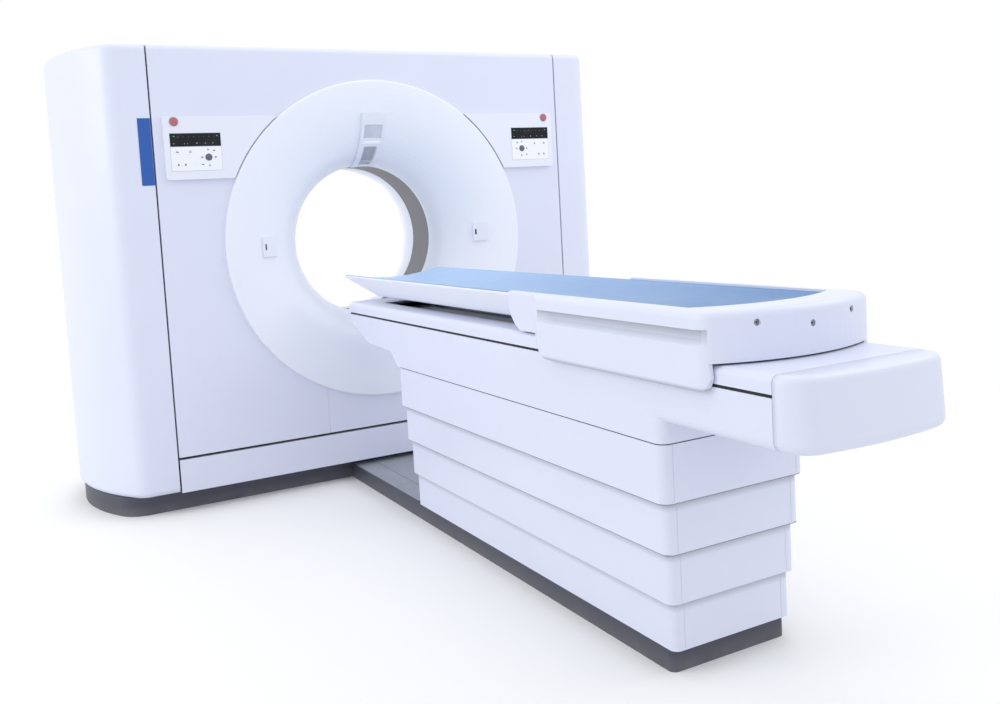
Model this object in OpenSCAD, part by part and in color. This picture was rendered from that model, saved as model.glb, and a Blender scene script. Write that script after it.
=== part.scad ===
// Computed tomography scanner: a ring shaped gantry on a dark plinth, and a
// patient table whose top rises on telescopic columns and slides into the bore.
// The origin lies on the floor, under the axis of the bore, in the plane of the
// gantry's front panel. The table runs towards -Y, and +Z is up.

/* [Gantry covers] */
// Height of the gantry above the floor
gantry_h = 1971; // [1950:1:1990]
// Depth from the front panel to the rear panel
gantry_d = 1000; // [970:1:1030]
// Half of the overall width, at the middle of the side covers
gantry_half_w = 1340; // [1325:1:1355]
// Width of each side cover, from its widest point to the upright seam
side_cover_w = 348; // [340:1:356]
// Radius of the long curve of a side cover, seen from above
side_curve_r = 745; // [730:1:760]
// Radius of the upright corners between a side cover and the front
corner_r = 80; // [70:1:90]
// Thickness of the moulded covers
cover_t = 5; // [4:0.5:6]
// Width of the open seams between covers
seam_gap = 7; // [5:0.5:9]
// Radius of the rounded top edges
top_r = 24; // [18:1:28]
// Radius of the rounded bottom edge of a side cover
foot_r = 28; // [20:1:34]
// Height of the seam between the front panel and the kick panel
kick_seam_z = 234; // [225:1:245]
// Width of the dark seam above the kick panel
kick_gap = 11; // [8:1:14]
// Half width of the small cover under the ring
centre_cover_half_w = 313; // [300:1:330]
// Number of vent slots in each half of the roof
roof_slots = 12; // [8:1:14]

/* [Plinths] */
// Height of the gantry plinth
plinth_h = 88; // [80:1:96]
// Set back of the gantry plinth behind the front panel
plinth_front_inset = 68; // [60:1:76]
// Set back of the gantry plinth under a side cover
plinth_side_inset = 18; // [16:1:22]
// Wall of both plinth skirts
plinth_wall = 6; // [5:1:8]
// Height of the table plinth
table_plinth_h = 63; // [60:1:68]
// Half width of the table plinth
table_plinth_half_w = 197.5; // [194:0.5:199]
// Distance of the table plinth's end from the gantry front
table_end = 2225; // [2215:1:2232]

/* [Bore] */
// Height of the bore axis above the floor
bore_z = 1104; // [1095:1:1112]
// Radius of the patient bore
bore_r = 350; // [345:1:355]
// Outer radius of the funnel rings
ring_r = 727; // [720:1:735]
// How far the funnel rings stand proud of the panels
ring_proud = 20; // [16:1:24]
// Depth of the front throat behind the front panel
throat_y = 228; // [222:1:234]
// Depth of the rear end of the scan window
window_end_y = 415; // [405:1:425]
// Depth at which the rear funnel starts to widen
rear_throat_y = 490; // [482:1:498]
// Thickness of the scan window
window_t = 2; // [1.5:0.5:3]

/* [Controls] */
// Distance of each control plate from the upright seam
plate_inset = 42; // [38:1:46]
// Height of the lower edge of the control plates
plate_z = 1410; // [1405:1:1415]
// Height of the control plates
plate_h = 263; // [258:1:268]
// How far the control plates stand proud of the front panel
plate_t = 18; // [14:1:20]
// Width of the displays and keypads
display_w = 210; // [200:1:216]
// Height of the displays
display_h = 54; // [48:1:60]
// Height of the keypads
keypad_h = 100; // [92:1:104]
// Diameter of the stop buttons
stop_d = 34; // [28:1:38]
// Travel of the stop buttons
stop_travel = 4; // [3:0.5:5]

/* [Rotor] */
// Radius of the rotor rim
rotor_r = 800; // [790:1:808]
// Depth of the scan plane behind the front panel
scan_y = 322; // [316:1:328]
// Distance of the focal spot from the bore axis
focus_r = 610; // [600:1:620]
// Radius of the X-ray tube housing
tube_r = 108; // [100:1:112]
// Distance from the focal spot to the inner face of the detector
detector_r = 1030; // [1024:1:1040]
// Half of the angle that the detector spans
detector_half_angle = 26; // [24:1:27]
// Radius of the motor pulley
pulley_r = 60; // [50:1:66]
// Thickness of the drive belt
belt_t = 4; // [3:0.5:5]
// Running gap of the main bearing
bearing_gap = 0.1; // [0.05:0.01:0.1]

/* [Table skirts] */
// Half width of the couch body and of the uppermost skirt
couch_half_w = 243; // [241:0.5:245]
// Amount by which each lower skirt is narrower on each side
tier_step_x = 13.5; // [13:0.1:14]
// Amount by which each lower skirt is shorter at each end
tier_step_y = 10; // [9:0.5:10.5]
// Gantry end of the uppermost skirt
tier_front = 657; // [650:1:664]
// Far end of the uppermost skirt
tier_end = 2272; // [2266:1:2276]
// Visible height of each lower skirt
tier_pitch = 136; // [134:1:137]
// Wall of the skirts
tier_wall = 4; // [3:0.5:4.5]
// Outer corner radius of the uppermost skirt
tier_corner_r = 30; // [28:1:36]
// Gap between the lips of neighbouring skirts
lip_gap = 0.5; // [0.4:0.1:0.8]
// How far the table sinks from its raised place
lift_travel = 380; // [340:1:380]

/* [Couch] */
// Height of the seam between couch body and upper skirt
couch_z = 617; // [614:1:620]
// Height of the underside of the rear arm
arm_z = 672; // [668:1:676]
// Height of the groove along the sides
groove_z = 795; // [792:1:798]
// Width of the side groove
groove_h = 8; // [6:1:9]
// Height of the deck
deck_z = 841; // [838:1:844]
// Distance of the couch nose from the gantry front
nose_y = 126; // [120:1:130]
// Distance of the end cap seam from the gantry front
cap_seam = 2645; // [2640:1:2652]
// Length of the end cap
cap_l = 100; // [92:1:110]
// Wall of the couch covers
couch_wall = 4; // [3:0.5:4.5]
// Radius of the rounded upper edges of deck and end cap
deck_r = 18; // [14:1:20]
// Radius of the rounded lower edges of rear arm and end cap
arm_r = 28; // [22:1:30]
// Open seam between couch and end cap
cap_gap = 2; // [1:0.5:3]
// Height of the dark seam under the couch body
couch_seam = 3; // [2:0.5:4]
// Half width of the slot in the deck
slot_half_w = 145; // [141:1:148]

/* [Carriage and tabletop] */
// Length of the carriage, on the centre line
carriage_l = 983; // [970:1:990]
// Distance of the carriage's far end from the end cap seam
carriage_inset = 107; // [100:1:112]
// Radius of the curved end of the carriage, seen from above
carriage_end_r = 550; // [540:1:570]
// Radius of the upright corners at the far end of the carriage
carriage_corner_r = 48; // [40:1:50]
// Height of the carriage rim
carriage_z = 965; // [962:1:968]
// Gap between carriage and deck
carriage_gap = 5; // [4:0.5:6]
// Half width over the carriage skirts
skirt_half_w = 272; // [268:1:275]
// Height of the lower edge of the carriage skirts
skirt_z = 778; // [774:1:784]
// Distance of the carriage skirts from the couch side
skirt_gap = 4; // [3:0.5:5]
// Travel of the tabletop towards the gantry
table_travel = 1600; // [1400:1:1600]
// Half width of the tabletop
top_half_w = 228.5; // [226:0.5:230]
// Height of the tabletop rim
top_rim_z = 957; // [954:1:959]
// Height of the underside of the tabletop
top_under_z = 868; // [864:1:872]
// Half width of the flat underside of the tabletop
top_under_half_w = 165; // [160:1:170]
// Depth of the hollow in the tabletop
hollow = 45; // [40:1:50]
// Gantry end of the tabletop
top_front = 97; // [94:1:110]
// Length of the rising underside at the gantry end
bow_l = 230; // [210:1:250]
// Distance of the tabletop's far end from the carriage's far end
top_inset = 100; // [95:1:106]
// Thickness of the mattress on the centre line
pad_t = 20; // [16:1:24]
// Thickness of the mattress at its edges
pad_edge_t = 4; // [3:0.5:6]

/* [Hidden] */
$fn = 96;

white = "#e9ebf5";
dark = "#42454e";
steel = "#9aa0a6";
metal = "#c4c8cc";
tiny = 0.01;

// Points of an arc about c, from angle a0 to a1
function arc(c, r, a0, a1, n = 8) =
    [for (i = [0 : n]) let (a = a0 + (a1 - a0) * i / n) [c[0] + r * cos(a), c[1] + r * sin(a)]];

// Gantry covers
seam_x = gantry_half_w - side_cover_w;
mid_y = gantry_d / 2;
curve_x = gantry_half_w - side_curve_r;
corner_x = curve_x + sqrt(pow(side_curve_r - corner_r, 2) - pow(mid_y - corner_r, 2));
curve_half_angle = atan2(mid_y - corner_r, corner_x - curve_x);
roof_z = gantry_h - cover_t;
flange_w = 60;
foot_flange = corner_r - 2;
return_w = 25;
panel_half_w = seam_x - seam_gap / 2;
panel_hole_r = ring_r - 4;
centre_gap = 0.8;
panel_z = kick_seam_z + kick_gap / 2;

// Gantry frame
column_x = seam_x - 132;
column_w = 80;
column_front = 490;
column_back = gantry_d - 250;
column_wall = 8;
stator_y = 532;
stator_t = 26;
stator_hole_r = bore_r + 45;
arm_w = 40;
arm_levels = [500, 1700];
foot_t = 20;
foot_w = 200;
anchor_r = 11;
anchor_x = seam_x + 8;
anchor_ys = [230, gantry_d - 230];
beam_h = 80;

// Funnels
shell_t = 5;
flange_r = ring_r + 22;
seat_gap = 0.3;
console_half_w = 60;
console_t = 11;
console_a0 = 22.6;
console_a1 = 80;
light_r = 530;
light_tilt = 22;

// Rotor
disc_y = 440;
disc_t = 30;
disc_back = disc_y + disc_t;
hub_r = bore_r + 35;
inner_ring_r = 400;
bearing_r = 440;
outer_ring_r = 480;
ridge = 6;
ridge_w = 8;
bearing_mid = 500;
pulley_x = gantry_half_w - 280;
pulley_z = 260;
pulley_w = 25;
shaft_r = 14;
belt_clear = 0.3;
motor_r = 80;
motor_front = 476;
motor_back = column_back - 50;
rim_t = 20;
slip_inner_r = 620;
slip_outer_r = 720;
slip_t = 18;
track_n = 5;
rotor_seat = 0.05;

// Table
lip_t = 4;
tier_foot = 32;
table_anchor_x = 150;
table_anchor_ys = [-tier_front - 203, 172 - tier_end];
tier_h = tier_pitch + 2 * lip_t + 0.3;
tier_bottom = couch_z - 153;
column_ys = [-tier_front - 343, 322 - tier_end];
column_half = [80, 71, 62];
column_wall_t = 6;
column_l = 300;
column_drop = lift_travel / 2;
frame_beam_z = 760;
frame_beam_top = 800;
frame_beam_half_w = 132;
strip_reach = 12;
cap_corner_r = 70;
cap_end_r = 1200;
nose_corner_r = 40;
cap_end = cap_seam + cap_l;
cap_centre = cap_end_r - cap_end;
cap_corner_x = couch_half_w - cap_corner_r;
cap_corner_y = cap_centre - sqrt(pow(cap_end_r - cap_corner_r, 2) - pow(cap_corner_x, 2));
cap_half_angle = asin(cap_corner_x / (cap_end_r - cap_corner_r));
carriage_end = cap_seam - carriage_inset;
carriage_front = carriage_end - carriage_l;
top_end = carriage_end - top_inset;
top_slope = atan2(top_rim_z - 7 - top_under_z, top_half_w - top_under_half_w);
end_centre = carriage_end_r - carriage_end;
corner_centre_x = skirt_half_w - carriage_corner_r;
corner_half_angle = asin(corner_centre_x / (carriage_end_r - carriage_corner_r));
corner_centre_y = end_centre - (carriage_end_r - carriage_corner_r) * cos(corner_half_angle);
top_end_r = top_end + end_centre;
hollow_r = (pow(top_half_w, 2) + pow(hollow, 2)) / (2 * hollow);
pad_rise = hollow - pad_t + pad_edge_t;
pad_r = (pow(top_half_w, 2) + pow(pad_rise, 2)) / (2 * pad_rise);
pad_clear = 0.3;
rail_x = 100;
rail_w = 16;
rail_h = 14;
runner_l = 100;
runner_ys = [-carriage_front - 505, 138 - carriage_end];

// Draws a section, whose x is depth from the outer face and whose y is height, along the front wall
module along_x(x0, x1) {
    translate([x0, 0, 0]) rotate([90, 0, 90]) linear_extrude(height = x1 - x0) children();
}

// Turns a section, whose x is depth from the outer face, about an upright axis
module turned_wall(c, r, a0, a1) {
    translate([c[0], c[1], 0]) rotate([0, 0, a0]) rotate_extrude(angle = a1 - a0, $fn = 180)
        translate([r, 0]) mirror([1, 0]) children();
}

// Revolves a profile, given as radius and depth, about the bore axis
module round_bore(angle = 360) {
    translate([0, 0, bore_z]) rotate([-90, 0, 0]) rotate_extrude(angle = angle, $fn = 180) children();
}

// Places children on the rotor at an angle from the top
module on_rotor(a) {
    translate([0, 0, bore_z]) rotate([0, a, 0]) children();
}

module disc_hole(x, z, y0, y1, r) {
    translate([x, y1, z]) rotate([90, 0, 0]) cylinder(h = y1 - y0, r = r);
}

module box(a, b) {
    translate(a) cube(b - a);
}

module both_sides() {
    children();
    mirror([1, 0, 0]) children();
}

// Section of an upper cover wall: rounded over at the top, with a flange that carries the roof
module wall_section(z0, foot) {
    inner_top = top_r - cover_t;
    inner_foot = foot - cover_t;
    foot_out = foot > 0 ? arc([foot, z0 + foot], foot, 180, 270) : [[0, z0], [cover_t, z0]];
    foot_in = foot > 0 ? arc([foot, z0 + foot], inner_foot, 270, 180) : [];
    polygon(concat(
        arc([top_r, gantry_h - top_r], top_r, 180, 90),
        [[top_r, gantry_h], [flange_w, gantry_h], [flange_w, roof_z], [top_r, roof_z]],
        arc([top_r, gantry_h - top_r], inner_top, 90, 180),
        foot > 0 ? [for (i = [len(foot_in) - 1 : -1 : 0]) foot_in[i]] : [],
        foot > 0 ? [[foot_flange, z0 + cover_t], [foot_flange, z0]] : [],
        foot > 0 ? [for (i = [len(foot_out) - 1 : -1 : 0]) foot_out[i]] : [[cover_t, z0], [0, z0]]));
}

// Plan of a side cover on the right, set in by t
function side_points(t, x0) = concat(
    [[x0, t]],
    arc([corner_x, corner_r], corner_r - t, -90, -curve_half_angle, 6),
    arc([curve_x, mid_y], side_curve_r - t, -curve_half_angle, curve_half_angle, 28),
    arc([corner_x, gantry_d - corner_r], corner_r - t, curve_half_angle, 90, 6),
    [[x0, gantry_d - t]]);

module side_cover() {
    x0 = seam_x + seam_gap / 2;
    color(white) {
        for (m = [0, 1])
            translate([0, m * gantry_d, 0]) mirror([0, m, 0]) {
                along_x(x0, corner_x) wall_section(plinth_h, foot_r);
                turned_wall([corner_x, corner_r], corner_r, -90, -curve_half_angle)
                    wall_section(plinth_h, foot_r);
                // return along the seam
                box([x0, cover_t - tiny, plinth_h + foot_r], [x0 + cover_t, return_w, roof_z]);
            }
        turned_wall([curve_x, mid_y], side_curve_r, -curve_half_angle, curve_half_angle)
            wall_section(plinth_h, foot_r);
        translate([0, 0, roof_z]) linear_extrude(height = cover_t)
            polygon(side_points(flange_w - 20, x0));
    }
}

module left_side_cover() {
    mirror([1, 0, 0]) side_cover();
}

module right_side_cover() {
    side_cover();
}

module front_panel() {
    color(white) difference() {
        union() {
            along_x(-panel_half_w, panel_half_w) wall_section(panel_z, 0);
            both_sides() box([panel_half_w - cover_t, cover_t - tiny, panel_z],
                [panel_half_w, return_w, roof_z]);
        }
        disc_hole(0, bore_z, -1, cover_t + 1, panel_hole_r);
        box([-centre_cover_half_w, -1, panel_z - 1], [centre_cover_half_w, cover_t + 1, bore_z - ring_r / 2]);
    }
}

module centre_cover() {
    color(white) difference() {
        union() {
            box([centre_gap - centre_cover_half_w, 0, panel_z],
                [centre_cover_half_w - centre_gap, cover_t, bore_z - ring_r / 2]);
            // ledges behind the neighbouring panel
            both_sides() box([centre_cover_half_w - 30, cover_t, panel_z],
                [centre_cover_half_w + 30, cover_t + 4, bore_z - ring_r + 20]);
        }
        disc_hole(0, bore_z, -1, cover_t + 1, panel_hole_r);
        disc_hole(0, bore_z, cover_t, cover_t + 5, flange_r + 1);
    }
}

module kick_panel() {
    color(white) {
        box([-panel_half_w, 0, plinth_h], [panel_half_w, cover_t, kick_seam_z - kick_gap / 2]);
        // lower flange that rests on the plinth, and upper flange
        box([-panel_half_w, 0, plinth_h], [panel_half_w, plinth_front_inset + 30, plinth_h + cover_t]);
        box([-panel_half_w, 0, kick_seam_z - kick_gap / 2 - cover_t],
            [panel_half_w, return_w, kick_seam_z - kick_gap / 2]);
    }
}

module rear_panel() {
    color(white) difference() {
        translate([0, gantry_d, 0]) mirror([0, 1, 0]) {
            along_x(-panel_half_w, panel_half_w) wall_section(plinth_h, 0);
            both_sides() box([panel_half_w - cover_t, cover_t - tiny, plinth_h],
                [panel_half_w, return_w, roof_z]);
        }
        disc_hole(0, bore_z, gantry_d - cover_t - 1, gantry_d + 1, panel_hole_r);
        // air inlets low down at both sides
        both_sides() for (i = [0 : roof_slots - 1])
            box([column_x - 20, gantry_d - cover_t - 1, 150 + i * 16],
                [column_x + column_w, gantry_d + 1, 157 + i * 16]);
    }
}

module roof_panel() {
    color(white) difference() {
        box([-panel_half_w, flange_w + 2, roof_z], [panel_half_w, gantry_d - flange_w - 2, gantry_h]);
        both_sides() for (i = [0 : roof_slots - 1])
            box([150 + i * 40, mid_y - 150, roof_z - 1], [165 + i * 40, mid_y + 150, gantry_h + 1]);
    }
}

module gantry_plinth() {
    fillet = corner_r + 40;
    r = side_curve_r - plinth_side_inset;
    y0 = plinth_front_inset;
    x1 = curve_x + sqrt(pow(r - fillet, 2) - pow(mid_y - y0 - fillet, 2));
    a = atan2(mid_y - y0 - fillet, x1 - curve_x);
    color(dark) {
        both_sides() {
            for (m = [0, 1])
                translate([0, m * gantry_d, 0]) mirror([0, m, 0]) {
                    translate([0, y0, 0]) along_x(0, x1) plinth_section();
                    turned_wall([x1, y0 + fillet], fillet, -90, -a) plinth_section();
                }
            turned_wall([curve_x, mid_y], r, -a, a) plinth_section();
        }
    }
}

// Upright skirt with a top flange that the covers stand on
module plinth_section() {
    polygon([[0, 0], [0, plinth_h - 4], [4, plinth_h], [60, plinth_h], [60, plinth_h - plinth_wall],
        [plinth_wall, plinth_h - plinth_wall], [plinth_wall, 0]]);
}

module gantry_frame() {
    x1 = column_x + column_w;
    color(steel) {
        both_sides() {
            // column, hollow
            difference() {
                box([column_x, column_front, foot_t], [x1, column_back, roof_z]);
                box([column_x + column_wall, column_front + column_wall, foot_t + 8],
                    [x1 - column_wall, column_back - column_wall, roof_z - 8]);
                // cable holes in the rear face
                for (z = [300, 1000, 1600])
                    box([column_x + 20, column_back - column_wall - 1, z], [x1 - 20, column_back + 1, z + 120]);
            }
            for (z = arm_levels) {
                box([x1 - arm_w, cover_t, z], [x1, column_front, z + arm_w]);
                box([x1 - arm_w, column_back, z], [x1, gantry_d - cover_t, z + arm_w]);
                intersection() {
                    box([x1, mid_y, z], [gantry_half_w, mid_y + arm_w, z + arm_w]);
                    translate([curve_x, mid_y, z]) cylinder(h = arm_w, r = side_curve_r - cover_t - seat_gap);
                }
            }
            // base rail and drilled foot plates
            box([column_x, anchor_ys[0], foot_t], [x1, anchor_ys[1], foot_t + beam_h - 20]);
            for (y = anchor_ys)
                difference() {
                    box([column_x, y - foot_w / 2, 0], [anchor_x + foot_w / 2, y + foot_w / 2, foot_t]);
                    translate([anchor_x, y, -1]) cylinder(h = foot_t + 2, r = anchor_r);
                }
        }
        // cross members and bearing plate
        for (y = [column_front, column_back - 60])
            box([-column_x, y, foot_t], [column_x, y + 60, foot_t + beam_h]);
        difference() {
            box([-column_x, stator_y, foot_t + beam_h], [column_x, stator_y + stator_t, roof_z - 60]);
            disc_hole(0, bore_z, stator_y - 1, stator_y + stator_t + 1, stator_hole_r);
        }
        // motor bracket
        difference() {
            box([x1, motor_front, pulley_z - motor_r], [pulley_x + motor_r, motor_front + 12, pulley_z + motor_r]);
            disc_hole(pulley_x, pulley_z, motor_front - 1, motor_front + 13, 32);
        }
        box([x1, motor_front + 12, pulley_z - motor_r], [x1 + 12, column_front + 60, pulley_z + motor_r]);
    }
}

// Point on the elliptic trumpet of a funnel, as radius and depth, t in front of its surface.
// The angle a runs from 0 at the ring to 90 at the throat.
function trumpet_point(depth, a, t = 0) =
    let (b = ring_r - bore_r, c = depth + ring_proud, n = norm([c * sin(a), b * cos(a)]))
        [ring_r - b * sin(a) - t * c * sin(a) / n, depth - c * cos(a) - t * b * cos(a) / n];

function trumpet(depth, t, n = 20) = [for (i = [0 : n]) trumpet_point(depth, 90 * i / n, t)];

// Funnel shell: outer bead, trumpet, throat lip and the flange behind the panel
module funnel_profile(depth, neck) {
    bead = 10;
    polygon(concat(
        [[ring_r, 0]],
        [[ring_r, bead - ring_proud]],
        arc([ring_r - bead, bead - ring_proud], bead, 0, -90, 4),
        [for (p = trumpet(depth, 0)) if (p[0] < ring_r - bead - 1) p],
        neck > 0 ? [[bore_r, depth + neck], [bore_r + shell_t, depth + neck]] : [],
        [for (i = [20 : -1 : 0]) let (p = trumpet(depth, -shell_t)[i]) if (p[0] < panel_hole_r - shell_t - 3) p],
        [[panel_hole_r - 1 - shell_t, shell_t - ring_proud], [panel_hole_r - 1 - shell_t, cover_t + 4],
        [flange_r, cover_t + 4], [flange_r, cover_t], [panel_hole_r - 1, cover_t], [panel_hole_r - 1, 0]]));
}

module front_funnel() {
    color(white) round_bore() funnel_profile(throat_y, 0);
}

module rear_funnel() {
    depth = gantry_d - rear_throat_y;
    color(white) translate([0, gantry_d, 0]) mirror([0, 1, 0])
        round_bore() funnel_profile(depth, rear_throat_y - window_end_y);
}

module scan_window() {
    color("#82858d") round_bore()
        translate([bore_r + 1, throat_y]) square([window_t, window_end_y - throat_y]);
}

// Raised strip with its screen and loudspeaker, down the upper part of the front funnel
module funnel_console() {
    color("#f4f5fb") difference() {
        intersection() {
            round_bore() polygon(console_band(console_a0, console_a1, seat_gap, console_t));
            box([-console_half_w, -ring_proud - console_t, bore_z], [console_half_w, throat_y, bore_z + ring_r]);
        }
        // recess for the screen and recess for the loudspeaker
        intersection() {
            round_bore() polygon(console_band(31.5, 42.4, console_t / 2, 3 * console_t));
            box([14 - console_half_w, -90, bore_z], [console_half_w - 14, throat_y, bore_z + ring_r]);
        }
        intersection() {
            round_bore() polygon(console_band(50.3, 77, console_t / 2, 3 * console_t));
            box([26 - console_half_w, -90, bore_z], [console_half_w - 26, throat_y, bore_z + ring_r]);
        }
    }
}

// Depth of the funnel surface at a radius
function funnel_y(r) =
    throat_y - (throat_y + ring_proud) * sqrt(1 - pow((ring_r - r) / (ring_r - bore_r), 2));

// Band in front of the funnel, between two angles of its ellipse and two distances from its surface
function console_band(a0, a1, t0, t1, n = 12) = concat(
    [for (i = [0 : n]) trumpet_point(throat_y, a0 + (a1 - a0) * i / n, t1)],
    [for (i = [n : -1 : 0]) trumpet_point(throat_y, a0 + (a1 - a0) * i / n, t0)]);

// Positioning light on side s: a raised square pad whose small window is on the pad's left
module light_pad(s) {
    color("#f4f5fb") difference() {
        translate([s * light_r, funnel_y(light_r), bore_z]) rotate([0, 0, -s * light_tilt]) difference() {
            translate([-36, -9, -44]) cube([72, 40, 88]);
            translate([-27, -10, -13]) cube([9, 4, 26]);
        }
        // seat against the funnel
        round_bore() polygon(concat(
            [for (i = [0 : 18]) trumpet_point(throat_y, 14 + 2 * i, seat_gap)],
            [[420, throat_y], [650, throat_y]]));
    }
}

module left_light() {
    light_pad(-1);
}

module right_light() {
    light_pad(1);
}

module label_strip() {
    x1 = seam_x + seam_gap / 2 + 1;
    color("#1c57ad") box([-x1 - 51, -1.5, plate_z - 18], [-x1, 0, plate_z + plate_h - 5]);
}

// Plate beside the ring: its inner edge follows the ring, and its lower outer corner is rounded
module control_plate() {
    corner = 16;
    color("#eef0f8") difference() {
        translate([0, 0, 0]) rotate([90, 0, 0]) linear_extrude(height = plate_t) difference() {
            union() {
                translate([400, plate_z + corner]) square([plate_x - 400, plate_h - corner]);
                translate([400, plate_z]) square([plate_x - 400 - corner, plate_h]);
                translate([plate_x - corner, plate_z + corner]) circle(r = corner, $fn = 32);
            }
            translate([0, bore_z]) circle(r = ring_r + 5, $fn = 180);
        }
        // pocket for the display and the keypad
        box([display_x - 0.3, -plate_t - 1, keypad_z - 0.3],
            [display_x + display_w + 0.3, 4 - plate_t, display_z + display_h + 0.3]);
        disc_hole(stop_x, stop_z, -plate_t - 1, -plate_t + 14, stop_d / 2 + 0.3);
    }
}
plate_x = seam_x - plate_inset;
display_x = plate_x - 24 - display_w;
keypad_z = plate_z + 36;
display_z = keypad_z + keypad_h + 2;
stop_x = plate_x - 45;
stop_z = plate_z + plate_h - 22;

module right_control_plate() {
    control_plate();
}

module left_control_plate() {
    mirror([1, 0, 0]) control_plate();
}

module display() {
    color("#15171c") box([display_x, -plate_t - 1, display_z], [display_x + display_w, 4 - plate_t, display_z + display_h]);
}

module right_display() {
    display();
}

module left_display() {
    mirror([1, 0, 0]) display();
}

module keypad() {
    color("#fbfcff") {
        box([display_x, -plate_t - 1, keypad_z], [display_x + display_w, 4 - plate_t, keypad_z + keypad_h]);
        // dial near the ring, and two rows of keys at the outer side
        disc_hole(display_x + 55, keypad_z + 55, -plate_t - 2, -plate_t - 1, 22);
        for (k = [[26, 22], [80, 22], [28, 75], [57, 75]])
            box([display_x + display_w - k[0] - 11, -plate_t - 2, keypad_z + keypad_h - k[1] - 8],
                [display_x + display_w - k[0] + 11, -plate_t - 1, keypad_z + keypad_h - k[1] + 8]);
    }
}

module right_keypad() {
    keypad();
}

module left_keypad() {
    mirror([1, 0, 0]) keypad();
}

module stop_button() {
    color("#a8525c") translate([stop_x, 0, stop_z]) rotate([90, 0, 0]) {
        translate([0, 0, plate_t - 14 + stop_travel + 0.5]) cylinder(h = 14, r = stop_d / 2);
        translate([0, 0, plate_t + stop_travel + 0.5]) cylinder(h = 3, r1 = stop_d / 2, r2 = stop_d / 2 - 3);
    }
}

module right_stop_button() {
    stop_button();
}

module left_stop_button() {
    mirror([1, 0, 0]) stop_button();
}

module bearing_outer_ring() {
    color(metal) round_bore() difference() {
        translate([bearing_r, bearing_mid - 24]) square([outer_ring_r - bearing_r, stator_y - bearing_mid + 24]);
        translate([bearing_r - 1, bearing_mid - ridge_w / 2 - bearing_gap])
            square([1 + ridge + bearing_gap, ridge_w + 2 * bearing_gap]);
    }
}

module bearing_inner_ring() {
    color(metal) round_bore() {
        translate([inner_ring_r, disc_back])
            square([bearing_r - bearing_gap - inner_ring_r, stator_y - 4 - disc_back]);
        translate([bearing_r - bearing_gap - 1, bearing_mid - ridge_w / 2]) square([1 + ridge, ridge_w]);
    }
}

// Cast disc with a hub, an outer rim for the belt and lightening holes
module rotor_disc() {
    color("#b3b8bd") difference() {
        round_bore() {
            translate([hub_r, disc_y]) square([rotor_r - hub_r - rim_t + 1, disc_t]);
            translate([hub_r, disc_y - 40]) square([16, 41]);
            translate([rotor_r - rim_t, disc_y - 14]) square([rim_t, disc_t + 14]);
        }
        for (a = [-90, -28, 28, 100, 120]) on_rotor(a)
            translate([0, disc_back + 1, 545]) rotate([90, 0, 0]) cylinder(h = disc_t + 2, r = 52);
    }
}

// Tube housing along the bore axis, with stepped ends and a window block
module xray_tube() {
    color("#c9ccd1") on_rotor(0) translate([0, 0, focus_r]) rotate([-90, 0, 0]) {
        translate([0, 0, 190]) cylinder(h = disc_y - 190, r = tube_r);
        translate([0, 0, 165]) cylinder(h = 26, r = tube_r - 18);
        for (y = [230, 400]) translate([0, 0, y]) cylinder(h = 12, r = tube_r + 6);
    }
}

module collimator() {
    z0 = bore_r + 60;
    color("#5f6670") on_rotor(0) difference() {
        union() {
            box([-90, scan_y - 50, z0], [90, scan_y + 50, focus_r - tube_r - 12]);
            box([-50, scan_y + 50, z0 + 10], [50, disc_y, z0 + 50]);
        }
        // slot that shapes the fan beam
        box([-70, scan_y - 12, z0 - 1], [70, scan_y + 12, focus_r]);
    }
}

// Curved detector array, centred on the focal spot, with cooling fins behind it
module detector() {
    depth = 150;
    fin_n = 22;
    a0 = -90 - detector_half_angle;
    color("#7d848c") translate([0, scan_y - depth / 2, bore_z + focus_r]) rotate([-90, 0, 0]) {
        rotate([0, 0, 90 - detector_half_angle]) rotate_extrude(angle = 2 * detector_half_angle, $fn = 180) {
            translate([detector_r, 0]) square([60, depth]);
            translate([detector_r + 12, 0]) square([36, disc_y - scan_y + depth / 2]);
        }
        for (i = [0 : fin_n - 1])
            rotate([0, 0, 90 - detector_half_angle + (i + 0.5) * 2 * detector_half_angle / fin_n])
                translate([detector_r + 59, -3, 10]) cube([22, 6, depth - 20]);
    }
}

// Housing on the rotor: a box with a rounded back, bolted to the disc
module rotor_box(a, w, r0, r1, y0) {
    on_rotor(a) {
        box([-w / 2, y0, r0], [w / 2, disc_y - rotor_seat, r1]);
        box([-w / 2 + 20, y0 - 8, r0 + 20], [w / 2 - 20, y0, r1 - 20]);
    }
}

module generator() {
    color("#8f969d") rotor_box(-62, 300, 450, 730, 220);
}

module rotor_controller() {
    color("#6d747c") rotor_box(-112, 200, 470, 730, 260);
}

// Heat exchanger with fins
module tube_cooler() {
    color("#a7adb3") rotor_box(62, 300, 450, 720, 230);
    color("#a7adb3") on_rotor(62) for (i = [0 : 12])
        box([-123 + i * 20, 180, 480], [-117 + i * 20, 223, 700]);
}

module slip_ring() {
    color("#c29a4c") round_bore() difference() {
        translate([slip_inner_r, disc_back]) square([slip_outer_r - slip_inner_r, slip_t]);
        for (i = [0 : track_n - 1])
            translate([slip_inner_r + 8 + i * 18, disc_back + slip_t - 4]) square([10, 5]);
    }
}

module brush_block() {
    color("#2b2d31") on_rotor(-140) {
        box([-40, disc_back + slip_t + 6, slip_inner_r - 10], [40, stator_y, slip_outer_r + 10]);
        for (i = [0 : track_n - 1])
            box([-12, disc_back + slip_t - 3.5, slip_inner_r + 10 + i * 18],
                [12, disc_back + slip_t + 7, slip_inner_r + 16 + i * 18]);
    }
}

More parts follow.
